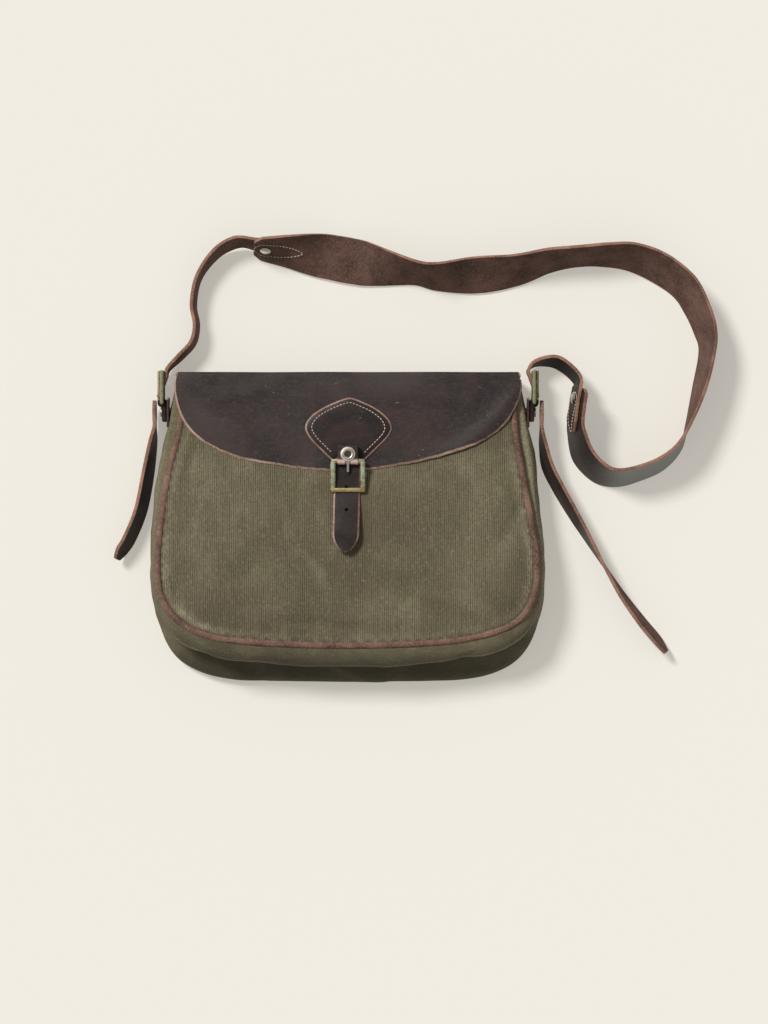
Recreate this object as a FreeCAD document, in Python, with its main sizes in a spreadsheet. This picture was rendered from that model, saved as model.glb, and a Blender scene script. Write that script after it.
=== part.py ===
"""Waxed-canvas shoulder bag with a leather flap, lying on its back (millimetres, +Z up).

Origin: centre of the back panel's outer face, which rests on the ground plane z = 0.
+X runs across the bag and +Y towards its mouth, which the flap covers.  The bag is a wedge:
its front slopes from the deep bottom down to the shallow mouth.  Everything on the front is
laid out on the front plane (FRONT, tilted about X), where the third coordinate is the
height above the underside of the front panel.
"""
import FreeCAD
import Part
import math
import os

import Sketcher
from FreeCAD import Placement, Rotation, Vector

# Driving dimensions: alias, value, meaning
DIMENSIONS = [
    ("canvas", 1.8, "thickness of the waxed canvas"),
    ("welt", 5.0, "width of the leather piping"),
    ("welt_height", 4.4, "height of the leather piping"),
    ("seam", 0.05, "gap between neighbouring sewn pieces"),
    ("mouth", 131.0, "Y of the outlines' upper edge; the mouth is one welt lower"),
    ("back_top", 140.0, "half width of the back at the mouth"),
    ("back_half", 164.0, "half width of the back at its widest"),
    ("back_bottom", 130.0, "distance from the origin to the bottom edge of the back"),
    ("back_corner", 58.0, "radius of the back's bottom corners"),
    ("front_top", 143.0, "half width of the front at the mouth"),
    ("front_half", 162.5, "half width of the front at its widest"),
    ("front_bottom", 101.0, "distance from the origin to the bottom edge of the front"),
    ("front_corner", 46.0, "radius of the front's bottom corners"),
    ("waist", -25.0, "Y of the widest place"),
    ("front_height", 36.5, "height of the front panel's underside at Y = 0"),
    ("front_tilt", 5.5, "slope of the front, degrees"),
    ("leather", 2.8, "thickness of the flap leather"),
    ("flap_lift", 4.3, "height of the flap's underside above the front plane"),
    ("flap_root", 127.6, "upper edge of the flap"),
    ("flap_half", 143.0, "half width of the flap at its upper edge"),
    ("flap_depth", 49.0, "Y of the flap's lower edge"),
    ("fold", 129.2, "Y of the two folds of the flap leather"),
    ("fold_low", 3.3, "height of the lower fold"),
    ("fold_high", 29.8, "height of the upper fold"),
    ("fold_gap", 1.7, "distance from a fold's line to the leather each side of it"),
    ("spine_half", 135.0, "half width of the leather across the mouth"),
    ("anchor_start", 100.0, "Y where the flap leather ends inside the back"),
    ("patch_thick", 2.4, "thickness of the closure patch"),
    ("strap_thick", 2.6, "thickness of the closure strap"),
    ("closure_half", 11.0, "half width of the closure strap"),
    ("snap_place", 60.0, "Y of the snap fastener"),
    ("snap_radius", 6.0, "radius of the snap fastener's cap"),
    ("post", 1.5, "radius of the snap fastener's posts"),
    ("buckle_bar", 1.75, "radius of a buckle's heel bar"),
    ("buckle_place", 54.5, "Y of the closure buckle's heel bar"),
    ("buckle_lift", 14.2, "height of the closure buckle's heel bar above the front plane"),
    ("buckle_half", 14.8, "half width of the closure buckle"),
    ("buckle_long", 26.5, "heel bar to the far edge of the closure buckle"),
    ("buckle_drop", 12.0, "slope of the closure buckle as it rests on its strap, degrees"),
    ("side_face", 150.5, "X of the inner face of the side tabs"),
    ("tab_thick", 2.0, "thickness of a side tab"),
    ("pivot_place", 97.0, "Y of the side rivets"),
    ("pivot_height", 14.5, "height of the side rivets"),
    ("rivet", 2.5, "radius of a side rivet's shank"),
    ("rivet_head", 4.0, "radius of a rivet's head"),
    ("head_thick", 1.5, "thickness of a rivet's head"),
    ("side_bar", 156.5, "X of the side buckles' bars"),
    ("heel", 105.0, "Y of the side buckles' heel bars"),
    ("side_long", 27.0, "heel bar to the far edge of a side buckle"),
    ("side_tall", 29.0, "height of a side buckle"),
    ("strap", 3.0, "thickness of the shoulder strap leather"),
    ("narrow", 20.0, "width of the narrow straps"),
    ("wide", 38.0, "width of the shoulder strap"),
    ("closure_start", 57.4, "Y where the closure strap starts under the buckle"),
    ("closure_tip", 20.5, "distance from the origin down to the closure strap's tip"),
    ("hole_upper", 34.0, "Y of the closure strap's upper hole"),
    ("hole_lower", 15.0, "Y of the closure strap's lower hole"),
    ("hole", 1.6, "radius of the closure strap's holes"),
    ("closure_wall", 3.4, "width of the closure buckle's bars"),
    ("closure_reach", 9.0, "reach of the closure buckle's tongue"),
    ("pin", 1.25, "radius of a buckle's pin"),
    ("chape_half", 8.5, "half width of the closure buckle's chape"),
    ("chape_end", 67.5, "Y where the closure buckle's chape ends on the patch"),
    ("chape_step", 59.5, "Y where the chape comes down onto the patch"),
    ("slot_half", 2.2, "half width of the chape's slot for the tongue"),
    ("tab_back", 84.0, "Y of the side tabs' lower edge"),
    ("tab_front", 109.6, "Y of the side tabs' upper edge"),
    ("tab_low", 4.6, "height of the side tabs' back edge"),
    ("tab_high", 26.0, "height of the side tabs' front edge"),
    ("side_chape_back", 89.0, "Y where a side chape ends"),
    ("side_chape_low", 5.0, "height of a side chape's back edge"),
    ("side_chape_high", 24.0, "height of a side chape's front edge"),
    ("side_wall", 3.5, "width of a side buckle's bars"),
    ("lap_rivet", 2.0, "radius of a strap rivet's shank"),
    ("lap_head", 4.6, "radius of a strap rivet's head"),
    ("lap_head_thick", 1.2, "thickness of a strap rivet's head"),
    ("lap_play", 0.3, "room under a strap rivet's head, as the leather is twisted there"),
    ("bend_radius", 28.0, "distance from the side rivets' line to the shoulder strap's bend"),
]

doc = FreeCAD.newDocument("ShoulderBag")
dims = doc.addObject("Spreadsheet::Sheet", "Dims")
for row, (alias, value, meaning) in enumerate(DIMENSIONS, start=1):
    dims.set(f"A{row}", meaning)
    dims.set(f"B{row}", str(value))
    dims.setAlias(f"B{row}", alias)
doc.recompute()


def size(expression):
    """The number that an expression on the sheet gives."""
    return float(dims.evalExpression(expression))


def bind(thing, **expressions):
    """Bind properties of a feature to expressions on the sheet's aliases."""
    for name, expression in expressions.items():
        for alias in sorted((entry[0] for entry in DIMENSIONS), key=len, reverse=True):
            expression = replace_word(expression, alias)
        thing.setExpression(name.replace("__", "."), expression)


def replace_word(expression, alias):
    """Put the sheet's name before an alias wherever it stands as a whole word."""
    words, word = [], ""
    for sign in expression + " ":
        if sign.isalnum() or sign in "_.":
            word += sign
            continue
        words.append("Dims." + alias if word == alias else word)
        words.append(sign)
        word = ""
    return "".join(words).strip()


# ---------------------------------------------------------------- frames of reference

FRONT = Placement(Vector(0, 0, size("front_height")),
                  Rotation(Vector(1, 0, 0), -size("front_tilt")))
SIDE_PLANE = Rotation(Vector(0, 1, 0), 90)       # turns a shape's Z axis to +X


def on_front(thing, height="0"):
    """Lay a feature on the front plane, raised by a height."""
    base = FRONT.multVec(Vector(0, 0, size(height)))
    thing.Placement = Placement(base, FRONT.Rotation)
    return thing


# ---------------------------------------------------------------- builders

def outline(name, points):
    """A closed sketch whose corners are bound to pairs of expressions."""
    sketch = doc.addObject("Sketcher::SketchObject", name)
    corners = [Vector(size(x), size(y), 0) for x, y in points]
    count = len(corners)
    following = [(index + 1) % count for index in range(count)]
    sketch.addGeometry([Part.LineSegment(corners[i], corners[j])
                        for i, j in enumerate(following)], False)
    sketch.addConstraint([Sketcher.Constraint("Coincident", i, 2, j, 1)
                          for i, j in enumerate(following)])
    for index, expressions in enumerate(points):
        for kind, value, expression in zip(("DistanceX", "DistanceY"), corners[index], expressions):
            number = sketch.addConstraint(Sketcher.Constraint(kind, -1, 1, index, 1, value))
            bind(sketch, **{f"Constraints[{number}]": expression})
    return sketch


def inset(source, distance):
    """A copy of a closed outline, moved inwards all round."""
    moved = doc.addObject("Part::Offset2D", source.Name + "Inset")
    moved.Source = source
    moved.Join = "Intersection"
    bind(moved, Value=f"-({distance})")
    return moved


def slab(base, thickness, direction=Vector(0, 0, 1)):
    """A closed outline made into a solid of one thickness."""
    solid = doc.addObject("Part::Extrusion", base.Name + "Slab")
    solid.Base = base
    solid.DirMode = "Custom"
    solid.Dir = direction
    solid.Solid = True
    bind(solid, LengthFwd=thickness)
    return solid


def block(name, low, high):
    """A box between two corners given as expressions."""
    box = doc.addObject("Part::Box", name)
    for place, length, start, end in zip("xyz", ("Length", "Width", "Height"), low, high):
        bind(box, **{f"Placement.Base.{place}": start, length: f"({end}) - ({start})"})
    return box


def rod(name, base, radius, length, axis="z"):
    """A cylinder from a base point along one axis."""
    cylinder = doc.addObject("Part::Cylinder", name)
    turn = {"x": SIDE_PLANE, "y": Rotation(Vector(1, 0, 0), -90), "z": Rotation()}[axis]
    cylinder.Placement = Placement(Vector(), turn)
    bind(cylinder, Radius=radius, Height=length,
         **{f"Placement.Base.{place}": value for place, value in zip("xyz", base)})
    return cylinder


def front_rod(name, radius, low, high, along="snap_place"):
    """A cylinder standing on the front plane, on the bag's middle line."""
    cylinder = doc.addObject("Part::Cylinder", name)
    bind(cylinder, Radius=radius, Height=f"({high}) - ({low})")
    base = FRONT.multVec(Vector(0, size(along), size(low)))
    cylinder.Placement = Placement(base, FRONT.Rotation)
    return cylinder


def cut(name, base, *tools):
    """One feature with others taken away from it."""
    tool = tools[0] if len(tools) == 1 else fuse(name + "Tools", *tools)
    result = doc.addObject("Part::Cut", name)
    result.Base, result.Tool = base, tool
    return result


def fuse(name, *shapes):
    """Several features joined into one."""
    result = doc.addObject("Part::MultiFuse", name)
    result.Shapes = list(shapes)
    result.Refine = True
    return result


def shape_node(name, shape):
    """A feature whose shape is worked out here, for leather that follows a free route."""
    feature = doc.addObject("Part::Feature", name)
    feature.Shape = shape
    return feature


pieces = []                                      # the features that are exported


def piece(label, feature):
    """Name a feature as one physical piece of the bag."""
    feature.Label = label
    pieces.append(feature)
    return feature


# ---------------------------------------------------------------- outlines of the two panels

CORNER_STEPS = 6


def panel_outline(name, top, half, bottom, corner):
    """A panel: sloping sides, round bottom corners and a straight mouth, point by point."""
    points = [(f"-{top}", "mouth"), (f"-({top} + {half}) / 2 - 3", "(mouth + waist) / 2"),
              (f"-{half}", "waist")]
    for step in range(1, CORNER_STEPS + 1):
        angle = 90 * step / (CORNER_STEPS + 1)
        points.append((f"-{half} + {corner} * (1 - cos({angle:.4f}))",
                       f"-{bottom} + {corner} * (1 - sin({angle:.4f}))"))
    points.append((f"-{half} + {corner} + 10", f"-{bottom}"))
    mirrored = [(f"-({x})", y) for x, y in reversed(points)]
    return outline(name, points + mirrored)


def ring(name, sketch, height):
    """Piping: the band along an outline's edge, open at the mouth."""
    outer = slab(sketch, height)
    inner = slab(inset(sketch, "welt"), height)
    return cut(name, outer, inner)


back = panel_outline("BackOutline", "back_top", "back_half", "back_bottom", "back_corner")
front = panel_outline("FrontOutline", "front_top", "front_half", "front_bottom", "front_corner")

# ---------------------------------------------------------------- canvas body and its piping

piece("back_panel", slab(inset(back, "welt + seam"), "canvas"))
back_rim_low = outline("BackMouth", [("-back_top - 3", "mouth - welt - 0.1"),
                                     ("back_top + 3", "mouth - welt - 0.1"),
                                     ("back_top + 3", "mouth + 9"), ("-back_top - 3", "mouth + 9")])
back_ring = ring("BackRing", back, "welt_height")
piece("back_piping", cut("BackPiping", back_ring, slab(back_rim_low, "welt_height")))

front_ring = on_front(ring("FrontRing", front, "welt_height"), "-canvas / 1.5")
front_rim = slab(outline("FrontMouth", [("-front_top - 3", "mouth - welt - 0.1"),
                                        ("front_top + 3", "mouth - welt - 0.1"),
                                        ("front_top + 3", "mouth + 9"),
                                        ("-front_top - 3", "mouth + 9")]), "welt_height")
piece("front_piping", cut("FrontPiping", front_ring, on_front(front_rim, "-canvas / 1.5")))

front_slab = on_front(slab(inset(front, "welt + seam"), "canvas"))
stud_hole = front_rod("StudHole", "post + seam", "-5", "15")
piece("front_panel", cut("FrontPanel", front_slab, stud_hole))


def wall(back_depth, front_depth):
    """The solid from the back's outline up to the front's, each moved inwards by a depth."""
    low = back.Shape.Wires[0].makeOffset2D(-back_depth, 2)
    low.translate(Vector(0, 0, size("welt_height")))
    high = front.Shape.Wires[0].makeOffset2D(-front_depth, 2)
    high.Placement = FRONT.multiply(Placement(Vector(0, 0, -size("canvas") / 1.5), Rotation()))
    return Part.makeLoft([low, high], True, True)


# The gusset is one canvas strip round three sides; its section changes all the way along.
doc.recompute()
canvas = size("canvas")
edge = size("seam") * 10
mouth_cut = Part.makeBox(600, 100, 100, Vector(-300, size("mouth - welt"), -20))
gusset_shape = wall(edge, edge).cut(wall(edge + canvas, edge + canvas)).cut(mouth_cut)
piece("gusset", shape_node("Gusset", gusset_shape))

# ---------------------------------------------------------------- flap leather

piece("flap_anchor", block("FlapAnchor", ("-spine_half", "anchor_start", "canvas + seam"),
                           ("spine_half", "fold - fold_gap", "canvas + seam + leather")))
piece("flap_spine", block("FlapSpine", ("-spine_half", "fold - leather / 2", "fold_low + fold_gap"),
                          ("spine_half", "fold + leather / 2", "fold_high - fold_gap")))

# Right half of the flap's edge, from its upper corner down to the middle.
FLAP_EDGE = [(143.0, 127.6), (144.0, 112.0), (139.5, 95.0), (130.0, 81.0), (115.0, 70.5),
             (92.0, 61.5), (66.0, 56.0), (36.0, 51.0), (12.0, 49.0)]


def flap_outline():
    """The flap's edge, both halves alike, scaled by its half width and depth."""
    half, root, depth = size("flap_half"), size("flap_root"), size("flap_depth")
    points = []
    for x, y in FLAP_EDGE:
        across = round(x / FLAP_EDGE[0][0], 4)
        down = round((root - y) / (root - depth), 4)
        points.append((f"flap_half * {across}", f"flap_root - (flap_root - flap_depth) * {down}"))
    return outline("FlapOutline", points + [(f"-({x})", y) for x, y in reversed(points)])


post_hole = front_rod("PostHole", "post + seam", "-5", "25")
flap_slab = on_front(slab(flap_outline(), "leather"), "flap_lift")
piece("flap", cut("Flap", flap_slab, post_hole))

# Closure patch: a shield with its point towards the mouth.
PATCH_EDGE = [("1", "108.6"), ("24", "95"), ("33", "87.5"), ("35", "83.5"), ("33.5", "79"),
              ("12.5", "57.7"), ("-13.5", "57.7"), ("-33", "79"), ("-34.4", "83"), ("-32", "87.5"),
              ("-22", "95.5")]
patch_slab = on_front(slab(outline("PatchOutline", PATCH_EDGE), "patch_thick"),
                      "flap_lift + leather")
piece("closure_patch", cut("ClosurePatch", patch_slab,
                           front_rod("PatchHole", "post + seam", "0", "20")))


def profile_on_front(name, points, half_width):
    """A solid of one width whose side view on the front plane is given point by point."""
    corners = [Vector(0, size(along), size(height)) for along, height in points]
    face = Part.Face(Part.makePolygon(corners + corners[:1]))
    solid = face.extrude(Vector(2 * size(half_width), 0, 0))
    solid.Placement = FRONT.multiply(Placement(Vector(-size(half_width), 0, 0), Rotation()))
    return shape_node(name, solid)


# Closure strap: sewn to the flap under the buckle, steps down to the front panel below the flap.
flap_top = "flap_lift + leather + seam"
strap_top = f"{flap_top} + strap_thick"
on_canvas = "canvas + 0.3"
strap_body = profile_on_front("ClosureStrapBody", [
    ("closure_start", flap_top), ("closure_start", strap_top), ("flap_depth - 1.5", strap_top),
    ("30", f"{on_canvas} + strap_thick"), ("-closure_tip", f"{on_canvas} + strap_thick"),
    ("-closure_tip", on_canvas), ("29.2", on_canvas), ("flap_depth - 2.3", flap_top)],
    "closure_half")
tip_cuts = []
for side, sign in (("Left", "-"), ("Right", "")):
    corner = outline(f"StrapTip{side}", [(f"{sign}(closure_half + 1)", "15.5 - closure_tip"),
                                         (f"{sign}(closure_half + 1)", "-1.5 - closure_tip"),
                                         (f"{sign}1.5", "-1.5 - closure_tip"),
                                         (f"{sign}7.5", "5 - closure_tip")])
    tip_cuts.append(on_front(slab(corner, "20"), "-2"))
strap_holes = [front_rod(f"StrapHole{index}", "hole", "0", "20", place)
               for index, place in enumerate(("hole_upper", "hole_lower"))]
piece("closure_strap", cut("ClosureStrap", strap_body, *tip_cuts, *strap_holes))

# Folded chape that wraps the heel bar and lies on the patch's lower end.
bar_gap = size("buckle_bar") + 0.1
wrap = bar_gap + 1.1
lift, bar_y = size("buckle_lift"), size("buckle_place")
seat = size("flap_lift + leather + patch_thick + seam")
chape_half, slot_half = size("chape_half"), size("slot_half")
chape_body = Part.makeBox(2 * chape_half, size("chape_end") - bar_y, lift + wrap - seat,
                          Vector(-chape_half, bar_y, seat))
chape_body = chape_body.cut(Part.makeBox(2 * chape_half, size("chape_step") - bar_y, 2.0,
                                         Vector(-chape_half, bar_y, seat)))
chape_body = chape_body.fuse(Part.makeCylinder(wrap, 2 * chape_half, Vector(-chape_half, bar_y, lift),
                                               Vector(1, 0, 0)))
for tool in (Part.makeCylinder(bar_gap, 40, Vector(-20, bar_y, lift), Vector(1, 0, 0)),
             Part.makeBox(2 * slot_half, 7.2, 3 * wrap,
                          Vector(-slot_half, bar_y - 4, lift - 1.5 * wrap)),
             Part.makeCylinder(size("post + seam"), 30, Vector(0, size("snap_place"), 0))):
    chape_body = chape_body.cut(tool)
chape_body.Placement = FRONT
piece("buckle_chape", shape_node("BuckleChape", chape_body.removeSplitter()))

# ---------------------------------------------------------------- snap fastener

cap_seat = f"buckle_lift + {wrap} + seam"
snap_cap = fuse("SnapCap", front_rod("CapDisc", "snap_radius", cap_seat, f"{cap_seat} + 1.2"),
                front_rod("CapDome", "snap_radius * 0.7", cap_seat, f"{cap_seat} + 2"),
                front_rod("CapPost", "post", "flap_lift", f"{cap_seat} + 0.5"))
socket_low = "canvas + 0.75"
snap_socket = cut("SnapSocket", front_rod("SocketBody", "4.6", socket_low, "flap_lift"),
                  front_rod("SocketBore", "2.4", "0", "3.6"))
snap_stud = fuse("SnapStud", front_rod("StudBase", "4.6", "canvas", "canvas + 0.55"),
                 front_rod("StudBall", "2.1", "canvas", "canvas + 1.5"),
                 front_rod("StudPost", "post", "-0.8", "canvas + 0.5"),
                 front_rod("StudBack", "4", "-0.8", "-seam"))
for label, feature in (("snap_cap", snap_cap), ("snap_socket", snap_socket), ("snap_stud", snap_stud)):
    piece(label, feature)

# ---------------------------------------------------------------- closure buckle


def buckle_frame(name, half, long, thick, bar):
    """A square frame whose round heel bar lies on the X axis; the far bar is at -Y."""
    plate = block(name + "Plate", (f"-({half})", f"-({long})", f"-({bar})"), (half, "0", bar))
    window = block(name + "Window", (f"-({half} - {thick})", f"-({long} - {thick})", "-10"),
                   (f"{half} - {thick}", "10", "10"))
    heel = rod(name + "Heel", (f"-({half})", "0", "0"), bar, f"2 * ({half})", "x")
    return fuse(name, cut(name + "Frame", plate, window), heel)


def buckle_tongue(name, reach, bar, lift):
    """An eye round the heel bar and a round pin towards the far bar."""
    eye = rod(name + "Eye", ("-1.6", "0", "0"), f"{bar} + 1", "3.2", "x")
    pin = rod(name + "Pin", ("0", f"-({reach})", lift), "pin", f"{reach} - 1.5", "y")
    bore = rod(name + "Bore", ("-5", "0", "0"), f"{bar} + 0.05", "10", "x")
    return cut(name, fuse(name + "Body", eye, pin), bore)


HEEL_LINE = FRONT.multiply(Placement(Vector(0, bar_y, lift), Rotation()))
closure_frame = buckle_frame("ClosureBuckle", "buckle_half", "buckle_long", "closure_wall",
                             "buckle_bar")
closure_frame.Placement = HEEL_LINE.multiply(
    Placement(Vector(), Rotation(Vector(1, 0, 0), size("buckle_drop"))))
piece("closure_buckle_frame", closure_frame)
closure_tongue = buckle_tongue("ClosureTongue", "closure_reach", "buckle_bar", "1.5")
closure_tongue.Placement = HEEL_LINE.multiply(Placement(Vector(), Rotation(Vector(1, 0, 0), 25)))
piece("closure_buckle_tongue", closure_tongue)

# ---------------------------------------------------------------- side attachments

mirror = {"left": -1, "right": 1}
face = size("side_face")
pivot = Vector(0, size("pivot_place"), size("pivot_height"))


def x_slab(sign, inner, outer, low, high):
    """A box between two distances from the bag's middle plane and two (Y, Z) corners."""
    start = min(sign * inner, sign * outer)
    return Part.makeBox(outer - inner, high[0] - low[0], high[1] - low[1],
                        Vector(start, low[0], low[1]))


def x_rod(sign, inner, outer, radius, center):
    """A cylinder along X between two distances from the bag's middle plane."""
    return Part.makeCylinder(radius, outer - inner, Vector(sign * inner, center[0], center[1]),
                             Vector(sign, 0, 0))


tab_out = face + size("tab_thick")
bar_x, bar_r = size("side_bar"), size("buckle_bar")
heel_y, top_z, side_wall = size("heel"), size("side_tall"), size("side_wall")
mid = (pivot.y, pivot.z)
loop_r = bar_r + 2.1
for side, sign in mirror.items():
    tab = x_slab(sign, face, tab_out, (size("tab_back"), size("tab_low")),
                 (size("tab_front"), size("tab_high")))
    tab = tab.cut(x_rod(sign, face - 5, tab_out + 5, size("rivet + seam"), mid))
    piece(f"side_tab_{side}", shape_node(f"SideTab_{side}", tab))

    chape_in, chape_out = tab_out + 0.15, bar_x
    low_z, high_z = size("side_chape_low"), size("side_chape_high")
    chape = x_slab(sign, chape_in, chape_out, (size("side_chape_back"), low_z), (heel_y, high_z))
    chape = chape.fuse(Part.makeCylinder(loop_r, high_z - low_z,
                                         Vector(sign * bar_x, heel_y, low_z)))
    chape = chape.cut(Part.makeCylinder(bar_r + 0.1, 40, Vector(sign * bar_x, heel_y, -5)))
    chape = chape.cut(x_slab(sign, face - 5, bar_x + 10, (heel_y - 3.6, 12.7), (heel_y + 10, 16.3)))
    chape = chape.cut(x_rod(sign, face - 5, bar_x + 5, size("rivet") + 0.08, mid))
    chape = chape.common(x_slab(sign, chape_in, bar_x + 20, (80, 0), (120, 30)))
    piece(f"side_chape_{side}", shape_node(f"SideChape_{side}", chape.removeSplitter()))

    head, thick = size("rivet_head"), size("head_thick")
    shank = x_rod(sign, face - thick, chape_out + thick + 0.05, size("rivet"), mid)
    inner_head = x_rod(sign, face - thick, face, head, mid)
    outer_head = x_rod(sign, chape_out + 0.05, chape_out + 0.05 + thick, head, mid)
    rivet = shank.fuse([inner_head, outer_head]).removeSplitter()
    piece(f"side_rivet_{side}", shape_node(f"SideRivet_{side}", rivet))

    far_y = heel_y + size("side_long")
    frame = x_slab(sign, bar_x - bar_r, bar_x + bar_r, (heel_y, 0), (far_y, top_z))
    frame = frame.cut(x_slab(sign, bar_x - 9, bar_x + 9, (heel_y - 1, side_wall),
                             (far_y - side_wall, top_z - side_wall)))
    heel_bar = Part.makeCylinder(bar_r, top_z, Vector(sign * bar_x, heel_y, 0))
    piece(f"side_buckle_frame_{side}",
          shape_node(f"SideFrame_{side}", frame.fuse(heel_bar).removeSplitter()))

    pin_x = bar_x + bar_r + 1.3
    tongue = Part.makeCylinder(bar_r + 1.4, 3.0, Vector(sign * bar_x, heel_y, pivot.z - 1.5))
    tongue = tongue.fuse(Part.makeCylinder(1.2, far_y - heel_y, Vector(sign * pin_x, heel_y, pivot.z),
                                           Vector(0, 1, 0)))
    tongue = tongue.cut(Part.makeCylinder(bar_r + 0.05, 20, Vector(sign * bar_x, heel_y, 5)))
    piece(f"side_buckle_tongue_{side}", shape_node(f"SideTongue_{side}", tongue.removeSplitter()))

# ---------------------------------------------------------------- strap leather along its route


def stations(route, width):
    """Centre, across and face directions of a strap at each point of its route.

    A route's points are (x, y, lean, rise, width share): lean is the angle from standing on
    edge, positive towards the left of travel; rise is how far the lower edge is off the ground.
    """
    result = []
    for index, (x, y, lean, rise, share) in enumerate(route):
        before, after = route[max(index - 1, 0)], route[min(index + 1, len(route) - 1)]
        along = Vector(after[0] - before[0], after[1] - before[1], 0).normalize()
        left = Vector(-along.y, along.x, 0)
        tilt = math.radians(lean)
        across = left * math.sin(tilt) + Vector(0, 0, math.cos(tilt))
        outward = left * math.cos(tilt) - Vector(0, 0, math.sin(tilt))
        half = width / 2
        height = rise + half * math.cos(tilt) + size("strap") / 2 * abs(math.sin(tilt))
        result.append((Vector(x, y, height), across, outward, half * share))
    return result


def ribbon(places, offset=0.0):
    """A solid strap through its stations, moved sideways by an offset along its face."""
    half_thick = size("strap") / 2
    sections = []
    for center, across, outward, half in places:
        middle = center + outward * offset
        corners = [middle + across * (half * u) + outward * (half_thick * v)
                   for u, v in ((1, 1), (-1, 1), (-1, -1), (1, -1))]
        sections.append(Part.makePolygon(corners + corners[:1]))
    return Part.makeLoft(sections, True, True)


# Routes of the leather: x, y, lean, rise, width share (see stations).
SHOULDER_ROUTE = [
    (-79, 235.6, 22, 0, 0.6), (-74, 235.0, 24, 0, 0.95), (-69.5, 234.4, 27, 0, 1),
    (-53, 233, 38, 0, 1), (-38, 231.3, 52, 0, 1), (-17, 228.5, 72, 0, 1), (7, 224, 74, 0, 1),
    (31, 219, 47, 0, 1), (57, 214.6, 27, 0, 1), (75.6, 211.5, 33, 0, 1), (109, 213, 48, 0, 1),
    (142, 217, 38, 0, 1), (170, 225, 27, 0, 1), (195, 228.5, 22, 0, 1), (218, 229.5, 26, 0, 1),
    (239, 228, 33, 0, 1), (262, 219, 38, 0, 1), (283, 203, 36, 0, 1), (294, 184, 33, 0, 1),
    (302, 164, 27, 0, 1), (303, 148, 23, 0, 1), (296, 118, 19, 0, 1), (288, 87, 5, 0, 1),
    (278, 68, -18, 0, 1), (263, 52, -26, 0, 1), (245, 45, -28, 0, 1), (227, 42, -31, 0, 1),
    (212, 46, -32, 0, 1), (198, 60.5, -36, 0, 1), (192, 81, -29, 0, 1), (191.7, 90, -26, 0, 1),
    (193, 99.5, -24, 0, 1), (194.3, 108, -24, 0, 1), (195.3, 113, -24, 0, 0.95),
    (196, 117, -24, 0, 0.6)]
LEFT_ROUTE = [
    (-159.7, 109.8, 0, 4.5, 1), (-157.1, 116.5, 0, 4.5, 1), (-153.4, 126.5, 0, 4.3, 1),
    (-151.6, 133.5, 5, 3, 1), (-141.5, 144, 22, 1, 1), (-131, 156, 30, 0, 1), (-129, 171, 32, 0, 1),
    (-132.5, 188, 30, 0, 1), (-128.5, 212, 28, 0, 1), (-112, 233, 25, 2, 1),
    (-94, 240.5, 23, 5, 1)]
RIGHT_ROUTE = [
    (193.5, 124, -26, 5, 1), (187, 132, -26, 2, 1), (176.5, 139.2, -25, 0.5, 1),
    (166.5, 140.2, -18, 1, 1), (156.5, 137.8, -8, 3, 1), (151.8, 132.2, 0, 4.3, 1),
    (153.4, 126.5, 0, 4.3, 1), (157.1, 116.5, 0, 4.5, 1), (159.7, 109.8, 0, 4.5, 1)]
LEFT_TAIL = [
    (-163, 97, 0, 4.5, 1), (-163, 85, 0, 4.5, 1), (-164.6, 72, -12, 2, 1), (-169, 45, -22, 0, 1),
    (-175, 15, -24, 0, 1), (-184.5, -9, -24, 0, 1), (-191, -19.5, -24, 0, 0.9),
    (-195, -26.5, -24, 0, 0.4)]
RIGHT_TAIL = [
    (163, 97, 0, 4.5, 1), (163, 85, 0, 4.5, 1), (164.4, 70, 12, 2, 1), (168, 52, 22, 0, 1),
    (177, 33.5, 23, 0, 1), (190, 11, 19, 0, 1), (203, -10.5, 10, 0, 1), (217, -34, -2, 0, 1),
    (231, -57, -12, 0, 1), (247.5, -79.5, -18, 0, 1), (260.5, -95, -20, 0, 0.9),
    (268, -105, -20, 0, 0.4)]

narrow, wide = size("narrow"), size("wide")
lap = size("strap") + 0.4                        # the narrow straps lie on the grain side
shoulder = stations(SHOULDER_ROUTE, wide)


def lapped(places, tip_first):
    """The narrow strap's pointed end on the shoulder strap's grain side."""
    shares = [0.35] + [1.0] * (len(places) - 1)
    if not tip_first:
        shares.reverse()
    return [(center + outward * lap, across, outward, narrow / 2 * share)
            for (center, across, outward, _), share in zip(places, shares)]


def strap_rivet(place):
    """A rivet through the shoulder strap and the narrow strap, and its hole."""
    center, _, outward, _ = place
    half, play, thick = size("strap") / 2, size("lap_play"), size("lap_head_thick")
    radius = size("lap_rivet")
    inner = center - outward * (half + play + thick)
    outer = center + outward * (lap + half + play)
    shank = Part.makeCylinder(radius, lap + 2 * (half + play + thick), inner, outward)
    heads = [Part.makeCylinder(size("lap_head"), thick, spot, outward) for spot in (inner, outer)]
    hole = Part.makeCylinder(radius + size("seam"), 40, center - outward * 20, outward)
    return shank.fuse(heads).removeSplitter(), hole


left_lap, right_lap = shoulder[0:5], shoulder[29:35]
left_rivet, left_hole = strap_rivet(shoulder[2])
right_rivet, right_hole = strap_rivet(shoulder[32])
left_strap = ribbon(stations(LEFT_ROUTE, narrow) + lapped(left_lap, False)).cut(left_hole)
right_strap = ribbon(lapped(right_lap, True) + stations(RIGHT_ROUTE, narrow)).cut(right_hole)

# Each narrow strap crosses its buckle's tongue; a slot lets the tongue through.
for sign, strap in ((-1, "left"), (1, "right")):
    slot = x_slab(sign, 150, 165, (103, 12.4), (118.5, 16.6))
    if strap == "left":
        left_strap = left_strap.cut(slot)
    else:
        right_strap = right_strap.cut(slot)

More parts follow.
